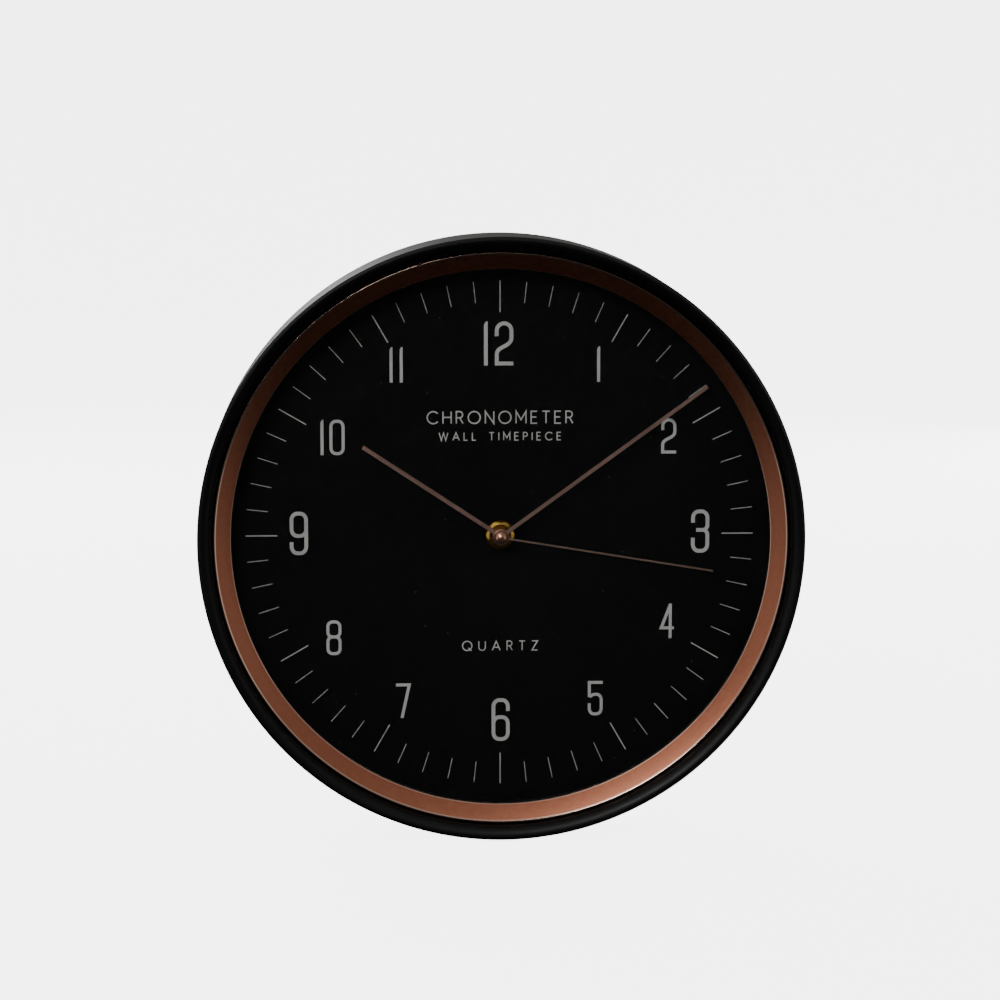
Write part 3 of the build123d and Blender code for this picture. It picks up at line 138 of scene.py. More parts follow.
def rounded(corners, steps=6):
    """A closed outline from (x, y, radius) corners, each turned into an arc of that radius."""
    outline = []
    for i, (x, y, radius) in enumerate(corners):
        here = Vector((x, y))
        back = (Vector(corners[i - 1][:2]) - here).normalized()
        on = (Vector(corners[(i + 1) % len(corners)][:2]) - here).normalized()
        if not radius:
            outline.append((x, y))
            continue
        half = back.angle(on) / 2
        middle = here + (back + on).normalized() * radius / sin(half)
        start, end = here + back * radius / tan(half) - middle, here + on * radius / tan(half) - middle
        outline += [tuple(middle + radius * start.slerp(end, step / steps)) for step in range(steps + 1)]
    return outline


def band(made, here, there):
    """Adds the faces between two like rings of points; a point that is met twice closes the ring there."""
    for i in range(len(here)):
        j = (i + 1) % len(here)
        corners = list(dict.fromkeys((here[i], here[j], there[j], there[i])))
        if len(corners) > 2:
            made.faces.new(corners)


def capped(made, ends):
    """Adds a face at each of two like rings and the band between them."""
    for end in ends:
        made.faces.new(end)
    band(made, *ends)


def turned(outline, segments=384):
    """A closed mesh turned about the dial's axis from (radius, depth) points; a radius may be one per segment."""
    made = bmesh.new()
    rings = []
    for radius, depth in outline:
        radii = radius if isinstance(radius, list) else [radius] * (segments if radius else 1)
        ring = []
        for i, own in enumerate(radii):
            turn = 2 * pi * i / segments
            ring.append(made.verts.new((own * MM * cos(turn), -depth * MM, own * MM * sin(turn))))
        rings.append(ring if radius else ring * segments)
    for here, there in zip(rings, rings[1:] + rings[:1]):
        band(made, here, there)
    return made


def extruded(outline, back, front, made=None):
    """A closed prism from an outline of (x, z) points, between two depths, on its own or added to a mesh."""
    if made is None:
        made = bmesh.new()
    capped(made, [[made.verts.new((x * MM, -depth * MM, z * MM)) for x, z in outline] for depth in (back, front)])
    return made


def piece(name, made, material, sharp=30):
    """An object of a finished mesh, with smooth shading apart from edges sharper than an angle in degrees."""
    bmesh.ops.recalc_face_normals(made, faces=made.faces)
    mesh = bpy.data.meshes.new(name)
    made.to_mesh(mesh)
    made.free()
    mesh.polygons.foreach_set("use_smooth", [True] * len(mesh.polygons))
    mesh.set_sharp_from_angle(angle=radians(sharp))
    mesh.materials.append(material)
    thing = bpy.data.objects.new(name, mesh)
    bpy.context.scene.collection.objects.link(thing)
    return thing


def fused(base, others, operation):
    """Joins other pieces to a piece (UNION) or cuts them out of it (DIFFERENCE); the others are used up."""
    for other in others:
        step = base.modifiers.new(other.name, "BOOLEAN")
        step.object, step.operation, step.solver = other, operation, "EXACT"
    bpy.context.view_layer.update()
    result = bpy.data.meshes.new_from_object(base.evaluated_get(bpy.context.evaluated_depsgraph_get()))
    base.modifiers.clear()
    base.data = result
    for other in others:
        bpy.data.objects.remove(other)
    result.set_sharp_from_angle(angle=radians(30))
    return base


def fit(thing, body, slot, *stands_for):
    """Fixes a piece to a body of the frame in the place of its plain solids."""
    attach(thing, body)
    if stands_for:
        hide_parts(*stands_for)


def around(radius, bearing, x=0.0, z=0.0):
    """The (x, z) point at a radius and a bearing in degrees from +X, seen from the front."""
    return (x + radius * cos(radians(bearing)), z + radius * sin(radians(bearing)))


case_abs = surface("moulded ABS, satin black", "#070708", 0.42, Specular_IOR_Level=0.3)
moulded_grain(case_abs, grain_mm=0.45, depth_mm=0.012, gloss=(0.36, 0.46))

CASE_RADIUS, side_draft = 150.0, 0.3
case_front = -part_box("case_rim")[0].y / MM
crest_radius, lip_wall_radius, lip_round = 148.3, 142.9, 4.5
ledge_front, ledge_back, ledge_radius = case_front - 11.3, case_front - 12.5, 136.3
groove_front, groove_radius, wall_inside = case_front - 4.4, 144.8, 147.4
turns = [radians(90 * step / 16) for step in range(1, 17)]
lip = [
    (crest_radius - (crest_radius - lip_wall_radius) * sin(t), case_front - lip_round * (1 - cos(t)), 0) for t in turns
]
outline = rounded([
    (CASE_RADIUS, 0, 0.4), (CASE_RADIUS - side_draft, case_front - 1.8, 0.7), (crest_radius, case_front, 0.25), *lip,
    (lip_wall_radius, ledge_front, 0.3), (ledge_radius, ledge_front, 0.2), (ledge_radius, ledge_back, 0.2),
    (groove_radius, ledge_back, 0.4), (groove_radius, groove_front, 0.4), (wall_inside, groove_front, 0.4),
    (wall_inside, 0, 0.3),
])
case_rim = piece("case_rim_moulded", turned(outline), case_abs)

screw_circle, boss_back, boss_front = 143.6, 19.0, ledge_back + 0.6
boss_radius, web_radius, shank_radius, shank_depth = 3.4, 149.0, 1.4, 9.5
overcut = 1  # a cutting tool starts this far outside
bosses, holes = [], []
for i, bearing in enumerate(range(30, 390, 60)):
    x, z = around(screw_circle, bearing)
    spread = degrees(boss_radius / web_radius)
    web = [around(web_radius, bearing - spread), around(web_radius, bearing + spread)]
    nose = [around(boss_radius, bearing + 90 + 12 * k, x, z) for k in range(16)]
    bosses.append(piece(f"boss_{i}", extruded(web + nose, boss_back, boss_front), case_abs))
    shank = [around(shank_radius, 15 * k, x, z) for k in range(24)]
    holes.append(piece(f"boss_hole_{i}", extruded(shank, boss_back - overcut, boss_back + shank_depth), case_abs))
tab_circle, slot_width, slot_length = 141.9, 1.4, 8.6
tab_turns = [radians(60 * i) for i in range(6)]
for i, turn in enumerate(tab_turns):
    corners = [
        (tab_circle + across * slot_width / 2, along * slot_length / 2)
        for across, along in ((-1, -1), (1, -1), (1, 1), (-1, 1))
    ]
    slot = [(x * cos(turn) - z * sin(turn), x * sin(turn) + z * cos(turn)) for x, z in corners]
    holes.append(piece(f"tab_slot_{i}", extruded(slot, ledge_back - overcut, ledge_front + overcut / 2), case_abs))
fused(case_rim, bosses, "UNION")
fused(case_rim, holes, "DIFFERENCE")
fit(case_rim, "clock", "case_black", "case_rim")

# ---------------------------------------------------------------- copper ring
# A narrow cone spun from 0.8 mm aluminium sheet and plated copper colour under clear lacquer. It is brushed
# while it turns, so fine streaks run round it and the light spreads across them. Its edges are rolled over,
# and tabs bent behind the ledge of the case hold it.


def brushed_round(material, colours, streak_mm, gloss, depth_mm):
    """Brushing that runs round the dial's axis: long streaks that change colour, gloss and height a little.

    Real streaks are about 0.05 mm wide and are drawn coarser, so that they show. The nodes for colour, for gloss
    and for the distance from the axis are returned.
    """
    streaks_per_radian = 26.0
    place = add_node(material, "ShaderNodeTexCoord")
    parts = add_node(material, "ShaderNodeSeparateXYZ", [], [("Vector", place, "Object")])
    flat = add_node(material, "ShaderNodeCombineXYZ", [], [("X", parts, "X"), ("Z", parts, "Z")])
    bearing = add_node(material, "ShaderNodeVectorMath", [("operation", "NORMALIZE")], [(0, flat, "Vector")])
    reach = add_node(material, "ShaderNodeVectorMath", [("operation", "LENGTH")], [(0, flat, "Vector")])
    across = add_node(
        material, "ShaderNodeMath", [("operation", "MULTIPLY"), (1, 1 / (streak_mm * MM))], [(0, reach, "Value")]
    )
    along = add_node(
        material, "ShaderNodeVectorMath", [("operation", "SCALE"), ("Scale", streaks_per_radian)],
        [(0, bearing, "Vector")],
    )
    ends = add_node(material, "ShaderNodeSeparateXYZ", [], [("Vector", along, "Vector")])
    streak_place = add_node(
        material, "ShaderNodeCombineXYZ", [], [("X", ends, "X"), ("Y", across, "Value"), ("Z", ends, "Z")]
    )
    streaks = add_node(
        material, "ShaderNodeTexNoise", [("Scale", 1.0), ("Detail", 3.0)], [("Vector", streak_place, "Vector")]
    )
    mottle = add_node(
        material, "ShaderNodeTexNoise", [("Scale", 1 / (2.5 * MM)), ("Detail", 4.0)], [("Vector", place, "Object")]
    )
    blend = add_node(
        material, "ShaderNodeMix", [("data_type", "FLOAT"), (0, 0.4)], [(2, streaks, "Fac"), (3, mottle, "Fac")]
    )
    tone = add_node(
        material, "ShaderNodeValToRGB", [("marks", ((0.32, colours[0]), (0.68, colours[1])))], [("Fac", blend, 0)]
    )
    sheen = add_node(
        material, "ShaderNodeMapRange",
        [("From Min", 0.3), ("From Max", 0.7), ("To Min", gloss[0]), ("To Max", gloss[1])],
        [("Value", blend, 0)],
    )
    bumps = add_node(
        material, "ShaderNodeBump", [("Strength", 0.35), ("Distance", depth_mm * MM)], [("Height", streaks, "Fac")]
    )
    shade_with(material, "Base Color", tone, "Color")
    shade_with(material, "Roughness", sheen, "Result")
    shade_with(material, "Normal", bumps, "Normal")
    return tone, sheen, reach


ring_copper = surface("spun aluminium, brushed copper lacquer", "#b6745a", 0.4, Metallic=1.0)
brushed_tone, brushed_sheen, reach = brushed_round(
    ring_copper, ("#af6d54", "#bd7b61"), streak_mm=0.3, gloss=(0.36, 0.44), depth_mm=0.01
)
# The rolled edges are rubbed smoother than the cone between them, and their colour is lightened as a painted highlight:
# a pale line along the crest and the inner edge.
crest_polish_and_highlight, edge_polish_and_highlight = (
    add_node(
        ring_copper, "ShaderNodeMapRange", [("From Min", start * MM), ("From Max", full * MM)],
        [("Value", reach, "Value")],
    )
    for start, full in ((140.6, 141.0), (133.95, 133.7))
)
polish_and_highlight = add_node(
    ring_copper, "ShaderNodeMath", [("operation", "MAXIMUM")], [(0, crest_polish_and_highlight, "Result"), (1, edge_polish_and_highlight, "Result")]
)
# Painted highlight: a pale copper is mixed into the colour along the crest and the inner edge.
painted_edge_highlight_tone = add_node(
    ring_copper, "ShaderNodeMix", [("data_type", "RGBA"), (7, linear("#ecc4b2"))],
    [(0, polish_and_highlight, "Value"), (6, brushed_tone, "Color")],
)
rubbed_sheen = add_node(
    ring_copper, "ShaderNodeMix", [("data_type", "FLOAT"), (3, 0.2)], [(0, polish_and_highlight, "Value"), (2, brushed_sheen, "Result")]
)
shade_with(ring_copper, "Base Color", painted_edge_highlight_tone, 2)
shade_with(ring_copper, "Roughness", rubbed_sheen, 0)

lens_low, lens_high = (-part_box("lens")[k].y / MM for k in (1, 0))
opening_radius, ring_crest_radius, ring_rise, sheet = 133.4, 141.9, 5.6, 0.8
edge_lift = 1.0
edge_front = lens_high + edge_lift
ring_crest = edge_front + ring_rise
ring_wall = ring_crest_radius + sheet / 2
ring_run = ring_crest_radius - opening_radius
slope = sqrt(ring_run**2 + ring_rise**2)
under = (opening_radius + ring_rise / slope * sheet, edge_front - ring_run / slope * sheet)
under_wall = under[1] + (ring_wall - sheet - under[0]) * ring_rise / ring_run
outline = rounded([
    (opening_radius, edge_front, 0.25), (ring_crest_radius - 0.2, ring_crest, 0.7),
    (ring_wall, ring_crest - 0.75, 0.4), (ring_wall, ledge_front, 0.1), (ring_wall - sheet, ledge_front, 0.1),
    (ring_wall - sheet, under_wall, 0.2), (*under, 0.2),
])
bezel = piece("bezel_ring_spun", turned(outline, 512), ring_copper, sharp=50)
tab_half, tab_reach, stem_front, bend_back = 4.0, 3.0, ledge_front + 0.4, ledge_back - sheet / 2
tab_outside, tab_inside = ring_wall - 0.12, ring_wall - sheet + 0.04
tab_outline = rounded([
    (tab_outside, stem_front, 0), (tab_inside, stem_front, 0), (tab_inside, ledge_back, 0.1),
    (ring_wall - tab_reach, ledge_back, 0), (ring_wall - tab_reach, bend_back, 0), (tab_outside, bend_back, 0.3),
])
tabs = []
for i, turn in enumerate(tab_turns):
    tab = bmesh.new()
    out, along = Vector((cos(turn), 0, sin(turn))), Vector((-sin(turn), 0, cos(turn)))
    capped(tab, [
        [tab.verts.new((radius * out + side * along - depth * Vector((0, 1, 0))) * MM) for radius, depth in tab_outline]
        for side in (-tab_half, tab_half)
    ])
    tabs.append(piece(f"tab_{i}", tab, ring_copper))
fused(bezel, tabs, "UNION")
fit(bezel, "clock", "copper", "bezel_ring")

# ---------------------------------------------------------------- glass, its gasket and its seat
# The lens is a disc of clear 2 mm float glass with an arrised edge. It sits in the step of a black moulded
# ring that also clamps the dial, and a strip of black foam under the ledge of the case keeps it from
# rattling.

# Polished float glass is clear and colourless; a faint film of haze only softens what it mirrors.
lens_glass = surface(
    "float glass, polished", "#fbfdfc", 0.0, IOR=1.52, Transmission_Weight=1.0, Specular_IOR_Level=0.35
)
place = add_node(lens_glass, "ShaderNodeTexCoord")
haze = add_node(
    lens_glass, "ShaderNodeTexNoise", [("Scale", 1 / (30 * MM)), ("Detail", 4.0)], [("Vector", place, "Object")]
)
film = add_node(
    lens_glass, "ShaderNodeMapRange",
    [("From Min", 0.5), ("From Max", 0.8), ("To Min", 0.0), ("To Max", 0.04)], [("Value", haze, "Fac")],
)
shade_with(lens_glass, "Roughness", film, "Result")
lens_radius, arris = 138.0, 0.3
outline = rounded([
    (0, lens_low, 0), (lens_radius - arris, lens_low, 0.1), (lens_radius, lens_low + arris, 0.1),
    (lens_radius, lens_high - arris, 0.1), (lens_radius - arris, lens_high, 0.1), (0, lens_high, 0),
], steps=3)
lens = piece("lens_disc", turned(outline), lens_glass)
lens.visible_shadow = False  # clear glass lets the light through to the dial
fit(lens, "clock", "lens_glass", "lens")


def refinish(material, *names):
    """Gives solids of the frame, whose shape is right as it is, their real surface."""
    for name in names:
        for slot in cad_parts[name].material_slots:
            slot.material = material


# Open cells leave the foam dead matt; real ones are about 0.1 mm across and are drawn larger.
foam = surface("EVA foam, cut strip", "#0a0a0a", 0.95, Specular_IOR_Level=0.2)
cells = add_node(
    foam, "ShaderNodeTexVoronoi", [("Scale", 1 / (0.4 * MM))],
    [("Vector", add_node(foam, "ShaderNodeTexCoord"), "Object")],
)
pores = add_node(foam, "ShaderNodeBump", [("Strength", 0.6), ("Distance", 0.08 * MM)], [("Height", cells, "Distance")])
shade_with(foam, "Normal", pores, "Normal")
refinish(foam, "lens_gasket")

# A coarse matt mould texture keeps the seat ring dark beside the glass.
seat_abs = surface("moulded ABS, matt black", "#0a0a0b", 0.6, Specular_IOR_Level=0.3)
moulded_grain(seat_abs, grain_mm=0.6, depth_mm=0.02, gloss=(0.55, 0.68))
refinish(seat_abs, "spacer_ring")

# ---------------------------------------------------------------- dial card
# A disc of stiff card with a matt black coating, clamped between the back plate and the seat ring. The
# coating drinks the light, and a little dust has settled on it, as it does in any clock that was closed
# by hand.
card = surface("coated card, matt black", "#070708", 0.8, Specular_IOR_Level=0.12)
place = add_node(card, "ShaderNodeTexCoord")
# Card fibres are finer than 0.1 mm; they are drawn at 0.5 mm, so that they show.
fibres = add_node(
    card, "ShaderNodeTexNoise", [("Scale", 1 / (0.5 * MM)), ("Detail", 4.0)], [("Vector", place, "Object")]
)
dust = add_node(card, "ShaderNodeTexVoronoi", [("Scale", 1 / (9 * MM))], [("Vector", place, "Object")])
speck = add_node(
    card, "ShaderNodeMapRange",
    [("From Min", 0.045), ("From Max", 0.02), ("To Min", 0.0), ("To Max", 0.35)], [("Value", dust, "Distance")],
)
tone = add_node(
    card, "ShaderNodeMix",
    [("data_type", "RGBA"), (6, linear("#070708")), (7, linear("#8a8782"))], [(0, speck, "Result")],
)
shade_with(card, "Base Color", tone, 2)
bumps = add_node(card, "ShaderNodeBump", [("Strength", 0.3), ("Distance", 0.02 * MM)], [("Height", fibres, "Fac")])
shade_with(card, "Normal", bumps, "Normal")
dial_back, dial_front = (-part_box("dial")[k].y / MM for k in (1, 0))
hub_hole, dial_radius = 4.25, 139.9
outline = rounded([
    (hub_hole, dial_back, 0.1), (dial_radius, dial_back, 0.1), (dial_radius, dial_front, 0.1),
    (hub_hole, dial_front, 0.1),
], steps=2)
fit(piece("dial_card", turned(outline), card), "clock", "dial_black", "dial")

# ---------------------------------------------------------------- print on the dial
# Screen printed in pale neutral ink, which stands a few hundredths of a millimetre proud: a thin stroke for
# each minute, a longer one for each hour, tall narrow numerals drawn with one pen width, and three lines of
# small capitals.

# Matt ink lies a little unevenly on the card, which shows as a faint mottling of its tone.
ink = surface("screen ink, pale neutral", "#c4c4c0", 0.6, Specular_IOR_Level=0.3)
cover = add_node(
    ink, "ShaderNodeTexNoise", [("Scale", 1 / (0.35 * MM)), ("Detail", 3.0)],
    [("Vector", add_node(ink, "ShaderNodeTexCoord"), "Object")],
)
tone = add_node(
    ink, "ShaderNodeValToRGB", [("marks", ((0.3, "#adada9"), (0.65, "#c9c9c5")))], [("Fac", cover, "Fac")]
)
shade_with(ink, "Base Color", tone, "Color")
INK_HEIGHT, LAYER_RISE = 0.035, 0.003  # a stroke over another stands this much higher


def print_line(mesh, points, pen, base, height, closed=False):
    """Adds a line of one pen width to a mesh: a thin closed strip with square ends and mitred corners."""
    mitre_limit = 0.3  # a very sharp corner's mitre is cut short there
    count = len(points)
    spots = [Vector(point) for point in points]
    steps = [(spots[(i + 1) % count] - spots[i]).normalized() for i in range(count if closed else count - 1)]
    rows = []
    for i, spot in enumerate(spots):
        before = steps[i - 1] if closed or i else steps[0]
        after = steps[i] if i < len(steps) else steps[-1]
        side = Vector((-before.y - after.y, before.x + after.x)).normalized()
        side *= pen / 2 / max(side.dot(Vector((-after.y, after.x))), mitre_limit)
        left, right = spot + side, spot - side
        rows.append([
            mesh.verts.new((p.x * MM, -depth * MM, p.y * MM))
            for p, depth in ((left, base), (left, base + height), (right, base + height), (right, base))
        ])
    for i in range(len(steps)):
        band(mesh, rows[i], rows[(i + 1) % count])
    if not closed:
        mesh.faces.new(rows[0])
        mesh.faces.new(rows[-1][::-1])


def bend(x, z, wide, tall, start, end, steps=12):
    """Points of an elliptical bend about (x, z), between two bearings in degrees."""
    turns = [radians(start + (end - start) * k / steps) for k in range(steps + 1)]
    return [(x + wide * cos(t), z + tall * sin(t)) for t in turns]


def sweep(a, b, c, d, steps=14):
    """Points of a smooth stroke that leaves a towards b and arrives at d from c."""
    shares = [k / steps for k in range(steps + 1)]
    return [
        tuple(
            (1 - t) ** 3 * p + 3 * (1 - t) ** 2 * t * q + 3 * (1 - t) * t * t * r + t**3 * s
            for p, q, r, s in zip(a, b, c, d)
        )
        for t in shares
    ]


def oblong(right, low, high, wide, tall):
    """A closed upright loop with bent corners, as wide as twice right."""
    r, t, b = right - wide, high - tall, low + tall
    corners = ((r, t, 0), (-r, t, 90), (-r, b, 180), (r, b, 270))
    return [point for x, z, start in corners for point in bend(x, z, wide, tall, start, start + 90)]


def numeral(figure, width, height, pen):
    """The pen's paths for one figure about its middle, as (points, closed); all shares are of its own size."""
    right, up, top, side = (width - pen) / 2, (height - pen) / 2, height / 2, width / 2
    wide, tall = 0.80 * right, 0.92 * right
    inner_r, inner_t = right - wide, up - tall
    if figure == "0":
        return [(oblong(right, -up, up, wide, tall), True)]
    if figure == "2":
        foot = -top + 0.25 * height
        neck = top - 0.37 * height
        path = [(-right, top - 0.335 * height)] + bend(0, up - right, right, right, 180, 0)
        path += sweep((right, neck), (right, neck - 0.22 * height), (-right, foot + 0.20 * height), (-right, foot))
        return [(path + [(-right, -up), (side, -up)], False)]
    if figure == "3":
        waist = top - 0.472 * height
        low_wide, low_tall = 0.62 * right, 0.70 * right
        lobe = right - low_wide
        upper = [(-right, top - 0.303 * height)] + bend(-inner_r, inner_t, wide, tall, 180, 90)
        upper += bend(inner_r, inner_t, wide, tall, 90, 0)
        upper += bend(lobe, waist + low_tall, low_wide, low_tall, 0, -90) + [(-0.22 * width, waist)]
        lower = [(-0.22 * width, waist)] + bend(lobe, waist - low_tall, low_wide, low_tall, 90, 0)
        lower += bend(inner_r, -inner_t, wide, tall, 0, -90) + bend(-inner_r, -inner_t, wide, tall, -90, -180)
        return [(upper, False), (lower + [(-right, -top + 0.346 * height)], False)]
    if figure == "4":
        stem, bar = 0.25 * width, top - 0.70 * height
        return [
            ([(stem - 0.1 * pen, top - 0.6 * pen), (-side + 0.75 * pen, bar), (side, bar)], False),
            ([(stem, top), (stem, -top)], False),
        ]
    if figure == "5":
        knee, crown = top - 0.468 * height, top - 0.345 * height - pen / 2
        flag = [(side, up), (-right, up), (-right, knee)]
        bowl = sweep(
            (-right + 0.1 * pen, knee), (-right + 0.18 * width, crown - 0.01 * height), (-0.12 * width, crown),
            (0.06 * width, crown),
        )
        bowl += bend(inner_r, crown - tall, wide, tall, 90, 0)[1:]
        bowl += bend(inner_r, -inner_t, wide, tall, 0, -90) + bend(-inner_r, -inner_t, wide, tall, -90, -180)
        return [(flag, False), (bowl + [(-right, -top + 0.353 * height)], False)]
    if figure == "7":
        return [([(-side, up), (right - 0.1 * pen, up), (-side + 0.39 * width, -top)], False)]
    if figure == "8":
        waist, tall = top - 0.475 * height, 0.85 * tall
        return [(oblong(right, waist, up, wide, tall), True), (oblong(right, -up, waist, wide, tall), True)]
    hook = [(right, top - 0.30 * height)] + bend(inner_r, inner_t, wide, tall, 0, 90)
    hook += bend(-inner_r, inner_t, wide, tall, 90, 180) + [(-right, -inner_t)]
    six = [(hook, False), (oblong(right, -up, top - 0.40 * height - pen / 2, wide, tall), True)]
    if figure == "6":
        return six
    return [([(-x, -z) for x, z in path], closed) for path, closed in six]


dial_print = bmesh.new()
TRACK_RADIUS, HOUR_TICK, MINUTE_TICK = 126.0, (110.4, 0.5), (115.5, 0.34)
for minute in range(60):
    start, pen = MINUTE_TICK if minute % 5 else HOUR_TICK
    tick = [around(radius, 90 - 6 * minute) for radius in (start, TRACK_RADIUS)]
    print_line(dial_print, tick, pen, dial_front, INK_HEIGHT)


def print_paths(paths, x, z, pen, size=1, foot=0):
    """Prints the strokes of one figure or letter at a point of the dial, each a little over the last."""
    for layer, (path, closed) in enumerate(paths):
        moved = [(x + px * size, z + (pz - foot) * size) for px, pz in path]
        print_line(dial_print, moved, pen, dial_front, INK_HEIGHT + LAYER_RISE * layer, closed)


LARGE, SMALL = (9.1, 21.7, 1.88), (7.5, 17.5, 1.5)
numerals = [
    ("12", LARGE, -0.7, 95.0), ("1", SMALL, 48.7, 84.6), ("2", SMALL, 83.7, 48.8), ("3", LARGE, 99.7, 1.1),
    ("4", SMALL, 83.2, -44.1), ("5", SMALL, 47.7, -83.0), ("6", LARGE, 0.3, -93.5), ("7", SMALL, -48.2, -83.5),
    ("8", SMALL, -82.7, -51.4), ("9", LARGE, -99.7, 1.1), ("10", SMALL, -82.7, 48.8), ("11", SMALL, -51.2, 84.6),
]
for figures, (width, height, pen), x, z in numerals:
    gap = 3.5 if figures in ("11", "12") else 2.9
    widths = [pen if figure == "1" else width for figure in figures]
    left = x - (sum(widths) + gap * (len(figures) - 1)) / 2
    for figure, own_width in zip(figures, widths):
        middle = left + own_width / 2
        left += own_width + gap
        if figure != "1":
            print_paths(numeral(figure, width, height, pen), middle, z, pen)
            continue
        # The 1 is a plain bar with its top cut off at a slant on the left.
        top, bottom, side = z + height / 2, z - height / 2, pen / 2
        bar = [(-side, bottom), (side, bottom), (side, top), (0, top), (-side, top - 0.9 * pen)]
        extruded([(middle + bx, bz) for bx, bz in bar], dial_front, dial_front + INK_HEIGHT, dial_print)

LETTERS = {
    "A": (0.84, [([(0, 0), (0.42, 1), (0.84, 0)], False), ([(0.15, 0.33), (0.69, 0.33)], False)]),
    "C": (0.88, [(bend(0.5, 0.5, 0.5, 0.5, 42, 318, 24), False)]),
    "E": (0.50, [([(0.5, 1), (0, 1), (0, 0), (0.5, 0)], False), ([(0, 0.52), (0.44, 0.52)], False)]),
    "H": (0.68, [([(0, 0), (0, 1)], False), ([(0.68, 0), (0.68, 1)], False), ([(0, 0.52), (0.68, 0.52)], False)]),
    "I": (0.0, [([(0, 0), (0, 1)], False)]),
    "L": (0.46, [([(0, 1), (0, 0), (0.46, 0)], False)]),
    "M": (0.82, [([(0, 0), (0, 1), (0.41, 0.3), (0.82, 1), (0.82, 0)], False)]),
    "N": (0.70, [([(0, 0), (0, 1), (0.7, 0), (0.7, 1)], False)]),
    "O": (1.0, [(bend(0.5, 0.5, 0.5, 0.5, 0, 350, 35), True)]),
    "P": (0.52, [([(0, 0), (0, 1)] + bend(0.27, 0.74, 0.25, 0.26, 90, -90) + [(0, 0.48)], False)]),
    "Q": (1.0, [(bend(0.5, 0.5, 0.5, 0.5, 0, 350, 35), True), ([(0.62, 0.3), (0.96, -0.04)], False)]),
    "R": (0.56, [
        ([(0, 0), (0, 1)] + bend(0.27, 0.74, 0.25, 0.26, 90, -90) + [(0, 0.48)], False),
        ([(0.28, 0.48), (0.56, 0)], False),
    ]),
    "T": (0.62, [([(0, 1), (0.62, 1)], False), ([(0.31, 1), (0.31, 0)], False)]),
    "U": (0.70, [([(0, 1)] + bend(0.35, 0.34, 0.35, 0.34, 180, 360) + [(0.7, 1)], False)]),
    "W": (1.16, [([(0, 1), (0.29, 0), (0.58, 0.96), (0.87, 0), (1.16, 1)], False)]),
    "Z": (0.60, [([(0, 1), (0.6, 1), (0, 0), (0.6, 0)], False)]),
}
WORD_GAP = 0.5  # of a capital's height
for words, line_width, capital, pen, middle in (
    ("CHRONOMETER", 72.6, 6.6, 0.66, 58.4), ("WALL TIMEPIECE", 60.8, 4.3, 0.52, 49.0),
    ("QUARTZ", 38.0, 5.2, 0.56, -56.0),
):
    size = capital - pen
    widths = [LETTERS[letter][0] * size if letter != " " else WORD_GAP * size for letter in words]
    gap = (line_width - pen - sum(widths)) / (len(words) - 1)
    left = -line_width / 2 + pen / 2
    for letter, width in zip(words, widths):
        if letter != " ":
            print_paths(LETTERS[letter][1], left, middle, pen, size, foot=0.5)
        left += width + gap
fit(piece("dial_print", dial_print, ink), "clock", "dial_black")

# ---------------------------------------------------------------- back plate and its screws
# The back is a ribbed black moulding that closes the case, with the dial card in front of it. Six
# cross-head thread-forming screws in bright zinc go through it into the bosses of the case.

# An unpolished mould gives the back a dull, coarse grain.
back_abs = surface("moulded polystyrene, matt black", "#101011", 0.6, Specular_IOR_Level=0.35)
moulded_grain(back_abs, grain_mm=0.9, depth_mm=0.03, gloss=(0.5, 0.68))
refinish(back_abs, "back_plate")

# Bright zinc is a cool silver, in small patches where the plating took a little differently.
zinc = surface("zinc-plated steel, bright", "#b9bab6", 0.3, Metallic=1.0)
# The real patches are a few tenths of a millimetre wide and are drawn at 0.8 mm.
spangle = add_node(
    zinc, "ShaderNodeTexVoronoi", [("Scale", 1 / (0.8 * MM))],
    [("Vector", add_node(zinc, "ShaderNodeTexCoord"), "Object")],
)
tone = add_node(
    zinc, "ShaderNodeMix",
    [("data_type", "RGBA"), (6, linear("#a5a7a6")), (7, linear("#c8c8c2"))], [(0, spangle, "Color")],
)
sheen = add_node(
    zinc, "ShaderNodeMapRange", [("To Min", 0.24), ("To Max", 0.34)], [("Value", spangle, "Distance")]
)
shade_with(zinc, "Base Color", tone, 2)
shade_with(zinc, "Roughness", sheen, "Result")
refinish(zinc, "back_screws", "hanger_screws")

# ---------------------------------------------------------------- hanger
# A bridge pressed from 1.5 mm zinc-plated strip, with a keyhole for the wall screw. Rolling leaves long
# lines in the strip, and the plating is duller there than on a screw.


def rolled(material, lines_mm, detail, gloss):
    """Long lines left by rolling or drawing, of a size along X, Y and Z, that change the gloss a little.

    Real lines are a few hundredths of a millimetre wide. They are drawn coarser, so that they show.
    """
    place = add_node(material, "ShaderNodeTexCoord")
    shares = tuple(1 / (size * MM) for size in lines_mm)
    drawn = add_node(material, "ShaderNodeMapping", [("Scale", shares)], [("Vector", place, "Object")])
    lines = add_node(
        material, "ShaderNodeTexNoise", [("Scale", 1.0), ("Detail", detail)], [("Vector", drawn, "Vector")]
    )
    sheen = add_node(
        material, "ShaderNodeMapRange", [("To Min", gloss[0]), ("To Max", gloss[1])], [("Value", lines, "Fac")]
    )
    shade_with(material, "Roughness", sheen, "Result")
    return lines


strip = surface("zinc-plated strip, rolled", "#9fa3a5", 0.4, Metallic=1.0)
lines = rolled(strip, (0.25, 0.25, 14), 3.0, (0.3, 0.52))
bumps = add_node(strip, "ShaderNodeBump", [("Strength", 0.4), ("Distance", 0.01 * MM)], [("Height", lines, "Fac")])
shade_with(strip, "Normal", bumps, "Normal")
refinish(strip, "hanger_bracket")

# ---------------------------------------------------------------- movement housing
# The housing of the quartz movement is moulded in black ABS, with a rear cover that snaps in. A raised
# plus and minus beside the battery bay, and an arrow round the setting knob, are cut into the mould.

